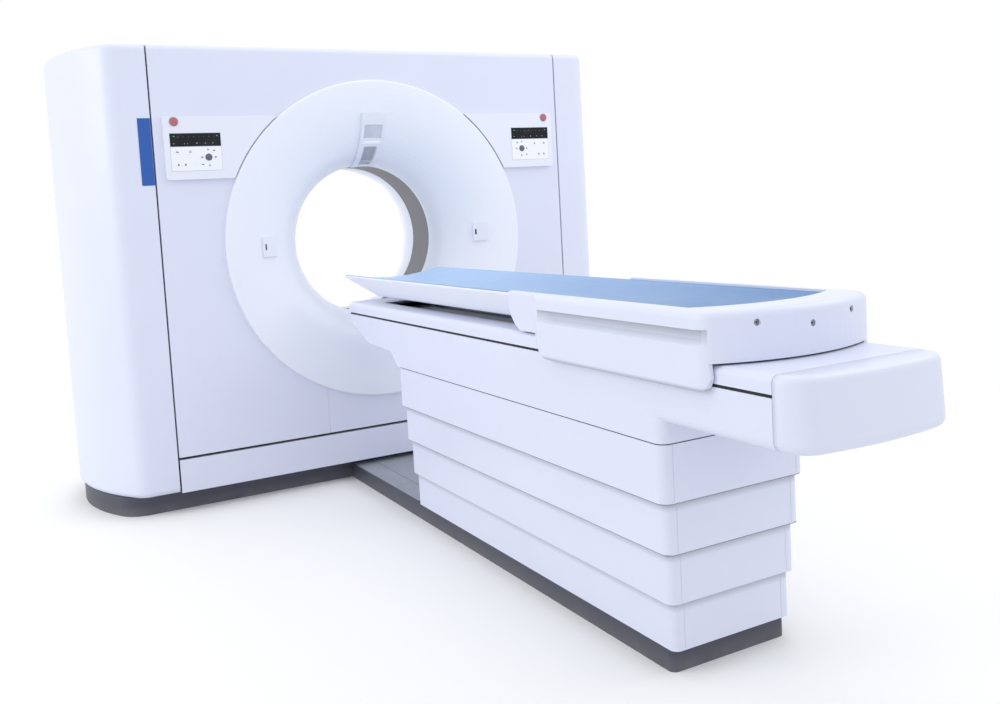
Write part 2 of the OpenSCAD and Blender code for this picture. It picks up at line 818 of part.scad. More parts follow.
module drive_motor() {
    color("#3f454d") {
        difference() {
            union() {
                disc_hole(pulley_x, pulley_z, motor_front + 12, motor_back, motor_r - 6);
                disc_hole(pulley_x, pulley_z, motor_front - 4, motor_front + 13, 31.5);
            }
            disc_hole(pulley_x, pulley_z, motor_front - 10, motor_front + 60, shaft_r + 0.05);
        }
        // cooling ribs
        for (i = [0 : 23]) translate([pulley_x, 0, pulley_z]) rotate([0, i * 15, 0])
            box([-2, motor_front + 30, motor_r - 8], [2, motor_back - 10, motor_r]);
    }
}

module motor_shaft() {
    color(metal) disc_hole(pulley_x, pulley_z, pulley_y - 4, motor_front + 58, shaft_r);
}
pulley_y = disc_y - 2;

module drive_pulley() {
    color(metal) difference() {
        union() {
            disc_hole(pulley_x, pulley_z, pulley_y, pulley_y + pulley_w + 4, pulley_r);
            for (y = [pulley_y, pulley_y + pulley_w]) disc_hole(pulley_x, pulley_z, y, y + 4, pulley_r + 8);
        }
        disc_hole(pulley_x, pulley_z, pulley_y - 5, pulley_y + pulley_w + 9, shaft_r + 0.05);
    }
}

// Flat belt round the rotor rim and the motor pulley
belt_span = sqrt(pow(pulley_x, 2) + pow(bore_z - pulley_z, 2));
belt_tilt = atan2(bore_z - pulley_z, pulley_x);
belt_lean = acos((rotor_r - pulley_r) / belt_span);

// Loop of flat chords, each tangent to a circle t outside the rim or the pulley
function belt_loop(t) = let (r1 = (rotor_r + belt_clear + t) / cos(1.5), r2 = (pulley_r + belt_clear + t) / cos(3))
    concat(
        arc([0, 0], r1, belt_lean, 360 - belt_lean, 80),
        arc([belt_span, 0], r2, -belt_lean, belt_lean, 20));

module drive_belt() {
    color("#1d1e20") translate([0, pulley_y + pulley_w - 0.5, bore_z]) rotate([90, 0, 0])
        rotate([0, 0, -belt_tilt]) linear_extrude(height = pulley_w - 5) difference() {
            polygon(belt_loop(belt_t));
            polygon(belt_loop(0));
        }
}

// Power cabinet inside the left side cover, on the outer face of the column
module power_unit() {
    x0 = 130 - gantry_half_w;
    x1 = -column_x - column_w;
    color("#7a8088") {
        box([x0, column_front + 115, plinth_h + 20], [x1, column_back - 5, 1420]);
        box([x0 + 30, column_back - 5, 300], [x1 - 30, column_back + 3, 1300]);
    }
}

// Outline with rounded corners, y running from the gantry end to the far end
module rounded_plan(w, y0, y1, r) {
    translate([-w, y0 + r]) square([2 * w, y1 - y0 - 2 * r]);
    translate([r - w, y0]) square([2 * (w - r), y1 - y0]);
    for (x = [r - w, w - r], y = [y0 + r, y1 - r]) translate([x, y]) circle(r = r, $fn = 48);
}

module table_plinth() {
    w = table_plinth_half_w;
    color(dark) difference() {
        union() {
            linear_extrude(height = table_plinth_h) rounded_plan(w, -table_end, -tier_front, 20);
            box([-w, -tier_front - 30, 0], [w, plinth_front_inset, table_plinth_h]);
        }
        // the skirt is hollow under the columns
        box([plinth_wall - w, -table_end + plinth_wall, foot_t], [w - plinth_wall, -tier_front - 60, table_plinth_h - 8]);
        // cable channel towards the gantry, closed by strips
        box([8 - w, -tier_front + 1, 12], [w - 8, plinth_front_inset - 8, table_plinth_h + 1]);
        // anchor holes, with wider access holes above them
        for (x = [-table_anchor_x, table_anchor_x], y = table_anchor_ys) {
            translate([x, y, -1]) cylinder(h = foot_t + 2, r = anchor_r);
            translate([x, y, foot_t]) cylinder(h = table_plinth_h, r = 2 * anchor_r);
        }
        for (y = column_ys)
            box([-60, y - 60, foot_t - 1], [60, y + 60, table_plinth_h + 1]);
    }
}

// Cover strips of the cable channel: two at the sides and a paler one between them
module channel_covers() {
    w = table_plinth_half_w - 8;
    y0 = -tier_front + 2;
    y1 = plinth_front_inset - 9;
    color("#83868c") both_sides() {
        box([95.5, y0, table_plinth_h - 6], [w - 0.5, y1, table_plinth_h]);
        box([w - 12, y0, 12], [w - 0.5, y1, table_plinth_h - 6]);
    }
    color("#b9bcc4") {
        box([-95, y0, table_plinth_h - 6], [95, y1, table_plinth_h + 2]);
        box([-10, y0, 12], [10, y1, table_plinth_h - 6]);
    }
}

// Skirt number k, counted from the top: a rounded tube with an inner lip at its foot and an outer lip at its top
module tier(k) {
    w = couch_half_w - (k - 1) * tier_step_x;
    y0 = -tier_end + (k - 1) * tier_step_y;
    y1 = -tier_front - (k - 1) * tier_step_y;
    r = tier_corner_r - (k - 1) * 3;
    z0 = k == 4 ? table_plinth_h : tier_bottom - (k - 1) * tier_pitch;
    foot_h = tier_bottom - 2 * tier_pitch + 2 * lip_t + 0.3 - z0;
    h = k == 1 ? couch_z - couch_seam - tier_bottom : k == 4 ? foot_h : tier_h;
    reach_x = tier_step_x - tier_wall - lip_gap;
    reach_y = tier_step_y - tier_wall - lip_gap;
    foot_x = k == 4 ? tier_foot : tier_step_x - lip_gap;
    foot_y = k == 4 ? tier_foot : tier_step_y - lip_gap;
    color(white) translate([0, 0, z0]) {
        difference() {
            linear_extrude(height = h) rounded_plan(w, y0, y1, r);
            translate([0, 0, lip_t]) linear_extrude(height = h)
                rounded_plan(w - tier_wall, y0 + tier_wall, y1 - tier_wall, r - tier_wall);
            translate([0, 0, -1]) linear_extrude(height = h)
                rounded_plan(w - foot_x, y0 + foot_y, y1 - foot_y, r - 3 + lip_gap);
        }
        // recessed neck of the upper skirt, which the couch body stands on
        if (k == 1)
            translate([0, 0, h - 12]) difference() {
                linear_extrude(height = couch_seam + 12)
                    rounded_plan(w - tier_wall + 0.5, y0 + tier_wall - 0.5, y1 - tier_wall + 0.5, r - tier_wall + 0.5);
                translate([0, 0, -1]) linear_extrude(height = couch_seam + 14)
                    rounded_plan(w - 2 * tier_wall, y0 + 2 * tier_wall, y1 - 2 * tier_wall, r - 2 * tier_wall);
            }
        if (k > 1)
            translate([0, 0, h - lip_t]) difference() {
                linear_extrude(height = lip_t)
                    rounded_plan(w + reach_x, y0 - reach_y, y1 + reach_y, r + 3 - tier_wall - lip_gap);
                translate([0, 0, -1]) linear_extrude(height = lip_t + 2)
                    rounded_plan(w - tier_wall, y0 + tier_wall, y1 - tier_wall, r - tier_wall);
            }
    }
}

module tier_1() {
    tier(1);
}

module tier_2() {
    tier(2);
}

module tier_3() {
    tier(3);
}

module tier_4() {
    tier(4);
}

// Stage s of both lifting columns: 0 is fixed, 1 rises halfway, 2 carries the couch
module column_stage(s) {
    h = column_half[s];
    z0 = table_plinth_h + s * (column_drop + 10);
    top = s == 2 ? frame_beam_z : z0 + column_l;
    for (y = column_ys) translate([0, y, 0]) {
        difference() {
            box([-h, -h, z0], [h, h, top]);
            box([column_wall_t - h, column_wall_t - h, z0 - 1], [h - column_wall_t, h - column_wall_t, top + 1]);
        }
        if (s == 2) box([-h, -h, top - 8], [h, h, top]);
        if (s == 0) box([-h - 18, -h - 18, z0], [h + 18, h + 18, z0 + 8]);
        // guide pads of the inner stages
        if (s > 0) for (x = [-1, 1], z = [z0 + 6, z0 + 60])
            box([x > 0 ? h : -h - 2.7, -30, z], [x > 0 ? h + 2.7 : -h, 30, z + 24]);
    }
}

module column_outers() {
    color(steel) column_stage(0);
}

module column_middles() {
    color(metal) column_stage(1);
}

module column_inners() {
    color(metal) column_stage(2);
}

// Steel beam along the couch, with ribs that reach its side covers
module couch_frame() {
    w = couch_half_w - couch_wall;
    color(steel) {
        difference() {
            box([-frame_beam_half_w, -cap_seam + 20, frame_beam_z], [frame_beam_half_w, -nose_y - 180, frame_beam_top]);
            box([6 - frame_beam_half_w, -cap_seam + 10, frame_beam_z + 6],
                [frame_beam_half_w - 6, -nose_y - 190, frame_beam_top - 6]);
        }
        both_sides() for (k = [0 : 4])
            translate([0, -nose_y - 294 - k * (cap_seam - nose_y - 439) / 4, 0])
                box([frame_beam_half_w, 0, frame_beam_z], [w, 8, groove_z - strip_reach]);
    }
}

// Thin section of a cover, whose x is depth from the outer face: rounded over by rt at the top, and by rb at the foot
module rim_section(z0, z1, rt, rb, t, depth) {
    polygon(concat(
        arc([rt, z1 - rt], rt, 180, 90),
        [[depth, z1], [depth, z1 - t]],
        arc([rt, z1 - rt], rt - t, 90, 180),
        rb > 0 ? arc([rb, z0 + rb], rb - t, 180, 270) : [[t, z0]],
        rb > 0 ? [[depth, z0 + t], [depth, z0]] : [],
        rb > 0 ? arc([rb, z0 + rb], rb, 270, 180) : [[0, z0]]));
}

// Draws a section along both sides of the couch, from y0 to y1
module along_sides(y0, y1) {
    both_sides() translate([couch_half_w, y1, 0]) rotate([90, 0, 0])
        linear_extrude(height = y1 - y0) mirror([1, 0]) children();
}

// Side view of the couch body ahead of the rear arm and below the groove, set in by t
module body_profile(t) {
    z1 = groove_z - groove_h / 2;
    offset(delta = -t) polygon([[-tier_end, z1], [-tier_end, couch_z], [-tier_front, couch_z],
        [-tier_front + 6, couch_z + 3], [-tier_front + 58, arm_z - 3], [-tier_front + 70, arm_z + 1],
        [-362, arm_z + 10], [-350, arm_z + 14], [-nose_y - 10, z1 - 12], [-nose_y, z1 - 2], [-nose_y, z1]]);
}

// Plan of the couch, with rounded corners at the nose, back to y0
module couch_plan(t, y0) {
    w = couch_half_w - t;
    r = nose_corner_r - t;
    translate([-w, y0]) square([2 * w, -nose_y - nose_corner_r - y0]);
    translate([r - w, -nose_y - nose_corner_r - 1]) square([2 * (w - r), nose_corner_r + 1 - t]);
    for (x = [r - w, w - r]) translate([x, -nose_y - nose_corner_r]) circle(r = r, $fn = 48);
}

// Couch body below the groove, set in by t: trunk with the corners of the upper skirt, and rear arm
module body_solid(t) {
    w = couch_half_w - t;
    r = tier_corner_r - t;
    z0 = arm_z + t;
    z1 = groove_z - groove_h / 2;
    e = arm_r - t;
    intersection() {
        translate([-w, 0, 0]) rotate([90, 0, 90]) linear_extrude(height = 2 * w) body_profile(t);
        linear_extrude(height = deck_z) intersection() {
            couch_plan(t, -tier_end);
            rounded_plan(w, -tier_end + t, 0, r);
        }
    }
    translate([0, 300 - tier_end, 0]) rotate([90, 0, 0])
        linear_extrude(height = cap_seam - cap_gap - t + 300 - tier_end)
            polygon(concat([[w, z1 - t], [-w, z1 - t]], arc([e - w, z0 + e], e, 180, 270),
                arc([w - e, z0 + e], e, 270, 360)));
}

module couch_body() {
    z1 = groove_z - groove_h / 2;
    color(white) difference() {
        body_solid(0);
        body_solid(couch_wall);
        // open top, and openings for the columns
        translate([0, 0, z1 - couch_wall - 1]) linear_extrude(height = couch_wall + 2)
            couch_plan(couch_wall, -cap_seam + cap_gap + couch_wall);
        for (y = column_ys) box([-105, y - 105, couch_z - 1], [105, y + 105, couch_z + couch_wall + 1]);
    }
}

module couch_deck() {
    z0 = groove_z + groove_h / 2;
    y0 = -cap_seam + cap_gap;
    y1 = -nose_y - nose_corner_r;
    inner = nose_corner_r - 10;
    color(white) {
        along_sides(y0, y1) rim_section(z0, deck_z, deck_r, 0, couch_wall, nose_corner_r - 2);
        both_sides() turned_wall([couch_half_w - nose_corner_r, y1], nose_corner_r, 0, 90)
            rim_section(z0, deck_z, deck_r, 0, couch_wall, nose_corner_r - 2);
        translate([0, -nose_y, 0]) mirror([0, 1, 0])
            along_x(nose_corner_r - couch_half_w, couch_half_w - nose_corner_r)
                rim_section(z0, deck_z, deck_r, 0, couch_wall, nose_corner_r - 2);
        // top, with the slot that the runners pass through
        translate([0, 0, deck_z - couch_wall]) linear_extrude(height = couch_wall) difference() {
            translate([inner - couch_half_w, y0]) square([2 * (couch_half_w - inner), -nose_y - inner - y0]);
            translate([-slot_half_w, runner_ys[1] - runner_l / 2 - 10])
                square([2 * slot_half_w, -nose_y - 200 - runner_ys[1] + runner_l / 2 + 10]);
        }
    }
}

// Black strips that close the groove and join deck and body
module groove_strips() {
    x = couch_half_w - couch_wall;
    corner = nose_corner_r + 4;
    color("#101114") {
        both_sides() box([x - 6, -cap_seam + 6, groove_z - strip_reach],
            [x, -nose_y - corner, groove_z + strip_reach]);
        box([corner - couch_half_w, -nose_y - couch_wall - 6, groove_z - groove_h / 2],
            [couch_half_w - corner, -nose_y - couch_wall, groove_z + strip_reach]);
    }
}

// End cap: flat sides, round upright corners, slightly curved end, and edges rounded all the way round
module end_cap() {
    color(white) difference() {
        union() {
            intersection() {
                hull() {
                    along_sides(cap_corner_y, -cap_seam) cap_edge();
                    both_sides() translate([cap_corner_x, cap_corner_y, 0]) rotate_extrude($fn = 48)
                        translate([cap_corner_r, 0]) mirror([1, 0]) cap_edge();
                    for (i = [-6 : 6]) slice([0, cap_centre], cap_end_r, -90 + i * cap_half_angle / 6) cap_edge();
                }
                box([-couch_half_w - 1, -cap_end - 1, arm_z - 1], [couch_half_w + 1, -cap_seam, deck_z + 1]);
            }
            // frame that seats against the end of the couch
            box([20 - couch_half_w, -cap_seam - 3, arm_z + 32], [couch_half_w - 20, cap_gap - cap_seam, deck_z - 24]);
        }
        // room inside, open towards the couch
        translate([0, 0, arm_z + 14]) linear_extrude(height = deck_z - arm_z - 24) polygon(concat(
            [[couch_half_w - 8, -cap_seam - 5]],
            arc([cap_corner_x, cap_corner_y], cap_corner_r - 8, 0, cap_half_angle - 90, 8),
            arc([0, cap_centre], cap_end_r - 8, cap_half_angle - 90, -90 - cap_half_angle, 8),
            arc([-cap_corner_x, cap_corner_y], cap_corner_r - 8, -90 - cap_half_angle, -180, 8),
            [[8 - couch_half_w, -cap_seam - 5]]));
        box([70 - couch_half_w, -cap_seam - 6, arm_z + 50], [couch_half_w - 70, 0, deck_z - 40]);
    }
}

// Solid section of the end cap's rim, whose x is depth from the outer face
module cap_edge() {
    polygon(concat([[cap_corner_r, arm_z]], arc([arm_r, arm_z + arm_r], arm_r, 270, 180),
        arc([deck_r, deck_z - deck_r], deck_r, 180, 90), [[cap_corner_r, deck_z]]));
}

// Thin slice of a rim section at angle a on a circle of radius r
module slice(centre, r, a) {
    translate([centre[0], centre[1], 0]) rotate([0, 0, a]) translate([r, 0, 0])
        rotate([90, 0, 0]) linear_extrude(height = 0.01, center = true) mirror([1, 0]) children();
}

module table_rails() {
    color(metal) both_sides() difference() {
        box([rail_x - rail_w / 2, -cap_seam + 130, frame_beam_top],
            [rail_x + rail_w / 2, -nose_y - 210, frame_beam_top + rail_h]);
        for (s = [-1, 1]) translate([rail_x + s * rail_w / 2, 0, frame_beam_top + rail_h / 2])
            rotate([90, 0, 0]) cylinder(h = cap_seam, r = 3, $fn = 24);
    }
}

// Four runner blocks that straddle the rails under the carriage
module rail_runners() {
    c = 0.3;
    top = deck_z + carriage_gap;
    color("#4a5058") for (m = [0, 1]) mirror([m, 0, 0]) for (y = runner_ys) difference() {
        box([rail_x - 22, y - runner_l / 2, frame_beam_top + 3], [rail_x + 22, y + runner_l / 2, top]);
        box([rail_x - rail_w / 2 - c, y - runner_l, frame_beam_top], [rail_x + rail_w / 2 + c, y + runner_l, frame_beam_top + rail_h + c]);
    }
}

// Section of the tabletop: sloping sides, flat underside with rounded edges, and a hollow top
top_edge_r = 25;
module top_section() {
    edge_x = top_edge_r * tan(top_slope / 2);
    difference() {
        polygon(concat([[-top_half_w, top_rim_z], [-top_half_w, top_rim_z - 7]],
            arc([edge_x - top_under_half_w, top_under_z + top_edge_r], top_edge_r, -90 - top_slope, -90, 6),
            arc([top_under_half_w - edge_x, top_under_z + top_edge_r], top_edge_r, -90, top_slope - 90, 6),
            [[top_half_w, top_rim_z - 7], [top_half_w, top_rim_z]]));
        translate([0, top_rim_z - hollow + hollow_r]) circle(r = hollow_r, $fn = 180);
    }
}

// Plan of the tabletop and the mattress: square at the gantry end, curved at the far end
module top_plan(y0) {
    intersection() {
        translate([-top_half_w - 1, -top_end]) square([2 * top_half_w + 2, top_end - y0]);
        union() {
            translate([-top_half_w - 1, end_centre]) square([2 * top_half_w + 2, -end_centre]);
            translate([0, end_centre]) circle(r = top_end_r, $fn = 240);
        }
    }
}

module tabletop() {
    color("#e4e6f0") difference() {
        intersection() {
            rotate([90, 0, 0]) linear_extrude(height = top_end + 1) top_section();
            linear_extrude(height = gantry_h) top_plan(top_front);
        }
        // rising underside at the gantry end
        translate([-top_half_w - 1, 0, 0]) rotate([90, 0, 90]) linear_extrude(height = 2 * top_half_w + 2)
            polygon([[-top_front - bow_l, top_under_z], [-top_front + 1, top_rim_z - 8],
                [-top_front + 1, top_under_z - 10], [-top_front - bow_l, top_under_z - 10]]);
    }
}

module mattress() {
    color("#6ea0d7") intersection() {
        rotate([90, 0, 0]) linear_extrude(height = top_end) difference() {
            intersection() {
                translate([-top_half_w, top_rim_z - hollow]) square([2 * top_half_w, hollow + pad_edge_t + pad_clear]);
                translate([0, top_rim_z - hollow + hollow_r + pad_clear]) circle(r = hollow_r, $fn = 180);
            }
            translate([0, top_rim_z + pad_edge_t - pad_rise + pad_r]) circle(r = pad_r, $fn = 180);
        }
        linear_extrude(height = gantry_h) top_plan(top_front + 4);
    }
}

skirt_front = carriage_front + 150;
skirt_ramp = 60;
skirt_end = carriage_end - 60;
front_lean = 63;
rim_r = 12;
skirt_rim_r = 20;
skirt_edge_r = 14;
grip_z = 922;
grip_depth = 20;

// Cross section of the carriage, half width w, down to z0: rounded by rt at the top and by edge at the foot
module carriage_section(w, z0, edge, rt) {
    polygon(concat(
        edge > 0 ? arc([edge - w, z0 + edge], edge, 180, 270, 6) : [[-w, z0]],
        edge > 0 ? arc([w - edge, z0 + edge], edge, 270, 360, 6) : [[w, z0]],
        arc([w - rt, carriage_z - rt], rt, 0, 90, 6),
        arc([rt - w, carriage_z - rt], rt, 90, 180, 6)));
}

// The same edge as a solid section for turning, whose x is depth from the outer face
module carriage_edge(depth) {
    polygon(concat([[depth, skirt_z]],
        arc([skirt_edge_r, skirt_z + skirt_edge_r], skirt_edge_r, 270, 180, 6),
        arc([skirt_rim_r, carriage_z - skirt_rim_r], skirt_rim_r, 180, 90, 6), [[depth, carriage_z]]));
}

// Narrow front part of the carriage: its leaning front runs back towards the foot
module carriage_front_block() {
    z0 = deck_z + carriage_gap;
    y0 = -carriage_front;
    intersection() {
        translate([0, y0 + 1, 0]) rotate([90, 0, 0]) linear_extrude(height = skirt_front + skirt_ramp + 60 - carriage_front)
            carriage_section(couch_half_w, z0, 0, rim_r);
        translate([-couch_half_w - 1, 0, 0]) rotate([90, 0, 90]) linear_extrude(height = 2 * couch_half_w + 2)
            polygon(concat([[-skirt_front - skirt_ramp - 50, z0], [y0 - front_lean, z0], [y0 - 0.6 * front_lean, z0 + 16],
                [y0 - 0.22 * front_lean, z0 + 44], [y0 - 2, z0 + 79]],
                arc([y0 - rim_r, carriage_z - rim_r], rim_r, 0, 90, 6), [[-skirt_front - skirt_ramp - 50, carriage_z]]));
    }
}

// Wide rear part with its skirts: straight run, round corners and curved end
module carriage_rear_block() {
    hull() {
        intersection() {
            translate([0, corner_centre_y + 800, 0]) rotate([90, 0, 0]) linear_extrude(height = 800)
                carriage_section(skirt_half_w, skirt_z, skirt_edge_r, skirt_rim_r);
            translate([0, 0, skirt_z - 1]) linear_extrude(height = carriage_z - skirt_z + 2) polygon([
                [-skirt_half_w - 1, corner_centre_y - 1], [-skirt_half_w - 1, -skirt_front - skirt_ramp],
                [-couch_half_w + 8, -skirt_front + 16], [couch_half_w - 8, -skirt_front + 16],
                [skirt_half_w + 1, -skirt_front - skirt_ramp], [skirt_half_w + 1, corner_centre_y - 1]]);
        }
        both_sides() translate([corner_centre_x, corner_centre_y, 0]) rotate_extrude($fn = 48)
            translate([carriage_corner_r, 0]) mirror([1, 0]) carriage_edge(carriage_corner_r);
        for (i = [-10 : 10]) slice([0, end_centre], carriage_end_r, -90 + i * corner_half_angle / 10) carriage_edge(40);
    }
}

// Saddle that holds the tabletop, with skirts that reach over the couch sides
module carriage() {
    z0 = deck_z + carriage_gap;
    side = couch_half_w + skirt_gap;
    color(white) difference() {
        union() {
            carriage_front_block();
            carriage_rear_block();
        }
        // room for the couch between the skirts
        box([-side, -carriage_end - 1, skirt_z - 1], [side, 0, z0]);
        // rounded lower corners of the skirts, ahead of the curved end and at the front
        both_sides() translate([side - 2, 0, 0]) rotate([90, 0, 90]) linear_extrude(height = skirt_half_w - side + 12) {
            polygon([[-carriage_end - 5, skirt_z - 1], [-skirt_end + 40, skirt_z - 1], [-skirt_end + 24, skirt_z + 4],
                [-skirt_end + 12, skirt_z + 14], [-skirt_end + 4, skirt_z + 34], [-skirt_end + 8, z0], [-carriage_end - 5, z0]]);
            polygon([[1 - skirt_front, skirt_z - 1], [-skirt_front - skirt_ramp - 50, skirt_z - 1],
                [-skirt_front - skirt_ramp - 26, skirt_z + 4], [-skirt_front - skirt_ramp - 8, skirt_z + 16],
                [-skirt_front - skirt_ramp, skirt_z + 32], [1 - skirt_front, skirt_z + 60]]);
        }
        // seat of the tabletop and the mattress
        intersection() {
            rotate([90, 0, 0]) linear_extrude(height = carriage_end) polygon([
                [-top_half_w - 0.5, carriage_z + 1], [-top_half_w - 0.5, top_rim_z - 7], [-top_under_half_w, top_under_z],
                [top_under_half_w, top_under_z], [top_half_w + 0.5, top_rim_z - 7], [top_half_w + 0.5, carriage_z + 1]]);
            linear_extrude(height = gantry_h) intersection() {
                translate([-top_half_w - 2, -top_end - 1]) square([2 * top_half_w + 4, top_end + 2]);
                union() {
                    translate([-top_half_w - 2, end_centre]) square([2 * top_half_w + 4, -end_centre]);
                    translate([0, end_centre]) circle(r = top_end_r + 0.5, $fn = 240);
                }
            }
        }
        carriage_hollow();
        both_sides() grip();
        at_screws() cylinder(h = 30, r = 8.2, $fn = 32);
    }
}

// Grip hollow along a skirt: an undercut upper edge, a sloping lower one, and tapered ends
module grip() {
    y0 = 98 - carriage_end;
    y1 = -skirt_front - skirt_ramp - 20;
    x0 = skirt_half_w - grip_depth;
    x1 = skirt_half_w + 1;
    intersection() {
        translate([0, y1 + 40, 0]) rotate([90, 0, 0]) linear_extrude(height = y1 - y0 + 80)
            polygon([[x1, grip_z + 1], [x0, grip_z - 4], [x0, grip_z - 12], [x0 + 5, grip_z - 22], [x1 - 6, grip_z - 32],
                [x1, grip_z - 37]]);
        translate([0, 0, grip_z - 40]) linear_extrude(height = 50)
            polygon([[x1, y0 - 30], [x0, y0], [x0, y1 - 30], [x1, y1 + 30]]);
    }
}

// Room inside the carriage, open underneath: along both sides and behind the tabletop
module carriage_hollow() {
    z0 = deck_z + carriage_gap - 1;
    z1 = carriage_z - 16;
    x1 = couch_half_w - 6;
    both_sides() translate([0, -carriage_front - front_lean - 12, 0]) rotate([90, 0, 0])
        linear_extrude(height = top_end - carriage_front - front_lean - 90)
            polygon([[top_under_half_w + 9, z0], [x1, z0], [x1, z1], [x1 - 2, z1], [top_under_half_w + 9, top_under_z + 2]]);
    translate([0, 0, z0]) linear_extrude(height = z1 - z0) intersection() {
        difference() {
            translate([0, end_centre]) circle(r = carriage_end_r - 6, $fn = 240);
            translate([0, end_centre]) circle(r = top_end_r + 8, $fn = 240);
        }
        translate([-x1, -carriage_end]) square([2 * x1, 300]);
    }
}
// Depth of the carriage's curved end at a distance from the centre line
function screw_y(x) = end_centre - sqrt(pow(carriage_end_r, 2) - x * x);

// The three screws: one to each side, and a lower one in the middle
module at_screws() {
    for (p = [[-152, carriage_z - 31], [0, carriage_z - 47], [152, carriage_z - 31]])
        translate([p[0], screw_y(p[0]) + 5, p[1]]) rotate([90, 0, 0]) children();
}

module carriage_screws() {
    color("#8b8f96") at_screws() difference() {
        cylinder(h = 2, r = 8, $fn = 32);
        translate([0, 0, 0.8]) cylinder(h = 3, r = 3, $fn = 6);
    }
}

gantry_plinth();
gantry_frame();
front_panel();
kick_panel();
centre_cover();
rear_panel();
roof_panel();
left_side_cover();
right_side_cover();
front_funnel();
rear_funnel();
scan_window();
funnel_console();
left_light();
right_light();
label_strip();
left_control_plate();
right_control_plate();
left_display();
right_display();
left_keypad();
right_keypad();
left_stop_button();
right_stop_button();
bearing_outer_ring();
bearing_inner_ring();
rotor_disc();
xray_tube();
collimator();
detector();
generator();
tube_cooler();
rotor_controller();
slip_ring();
brush_block();
drive_motor();
motor_shaft();
drive_pulley();
drive_belt();
power_unit();
table_plinth();
channel_covers();
tier_1();
tier_2();
tier_3();
tier_4();
column_outers();
column_middles();
column_inners();
couch_frame();
couch_body();
couch_deck();
groove_strips();
end_cap();
table_rails();
rail_runners();
carriage();
carriage_screws();
tabletop();
mattress();
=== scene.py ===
import math

import bmesh
import bpy
from mathutils import Matrix, Vector, noise


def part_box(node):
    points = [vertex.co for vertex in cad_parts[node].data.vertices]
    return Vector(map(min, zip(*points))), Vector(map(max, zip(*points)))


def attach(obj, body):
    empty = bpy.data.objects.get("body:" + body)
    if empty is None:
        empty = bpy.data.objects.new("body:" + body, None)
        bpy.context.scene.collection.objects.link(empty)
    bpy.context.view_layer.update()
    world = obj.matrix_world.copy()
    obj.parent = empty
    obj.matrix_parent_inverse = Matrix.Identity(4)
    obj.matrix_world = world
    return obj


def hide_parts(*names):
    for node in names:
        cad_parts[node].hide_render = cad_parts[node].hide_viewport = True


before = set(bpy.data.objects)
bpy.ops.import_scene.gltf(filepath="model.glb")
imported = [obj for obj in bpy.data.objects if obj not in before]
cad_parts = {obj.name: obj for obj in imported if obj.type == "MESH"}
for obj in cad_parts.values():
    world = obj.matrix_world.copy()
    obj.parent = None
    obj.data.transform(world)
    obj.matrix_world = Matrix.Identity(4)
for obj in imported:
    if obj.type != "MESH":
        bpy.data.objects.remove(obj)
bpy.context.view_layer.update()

bl_info = {
    "name": "Computed tomography scanner",
    "version": (1, 0, 0),
    "blender": (4, 5, 0),
    "location": "3D View > Sidebar > Scanner",
    "description": "Dresses the packed scanner: finishes, controls, mattress, trim and studio",
    "category": "Object",
}

PLATE_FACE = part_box("right_control_plate")[0].y
DISPLAY_LOW, DISPLAY_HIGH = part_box("right_display")
KEYPAD_LOW, KEYPAD_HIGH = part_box("right_keypad")
BUTTON_LOW, BUTTON_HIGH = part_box("right_stop_button")
TOP_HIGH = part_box("tabletop")[1]
FUNNEL_LOW, FUNNEL_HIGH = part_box("front_funnel")


# Sizes and colours that a user would change

class ScannerSizes(bpy.types.PropertyGroup):
    bore_height: bpy.props.FloatProperty(
        name="Bore height", description="Height of the bore axis above the floor",
        default=(FUNNEL_LOW.z + FUNNEL_HIGH.z) / 2, unit="LENGTH")
    bore_radius: bpy.props.FloatProperty(
        name="Bore radius", description="Radius of the patient bore", default=0.35, unit="LENGTH")
    ring_radius: bpy.props.FloatProperty(
        name="Ring radius", description="Outer radius of the front funnel", default=0.727, unit="LENGTH")
    seal_width: bpy.props.FloatProperty(
        name="Seal width", description="Width of the dark seal behind each cover seam",
        default=0.03, unit="LENGTH")
    top_half_width: bpy.props.FloatProperty(
        name="Tabletop half width", description="Half of the tabletop's width",
        default=TOP_HIGH.x, unit="LENGTH")
    hollow_depth: bpy.props.FloatProperty(
        name="Hollow depth", description="Depth of the hollow in the tabletop", default=0.045, unit="LENGTH")
    pad_thickness: bpy.props.FloatProperty(
        name="Mattress thickness", description="Thickness of the mattress on its centre line",
        default=0.02, unit="LENGTH")
    pad_edge: bpy.props.FloatProperty(
        name="Mattress edge", description="Height of the mattress edge above the rim",
        default=0.004, unit="LENGTH")
    pad_seam: bpy.props.FloatProperty(
        name="Mattress seam", description="Distance of the welded seam from the edge",
        default=0.014, unit="LENGTH")
    cap_lean: bpy.props.FloatProperty(
        name="End cap lean", description="How far the end cap's face leans back at its top",
        default=0.017, unit="LENGTH")


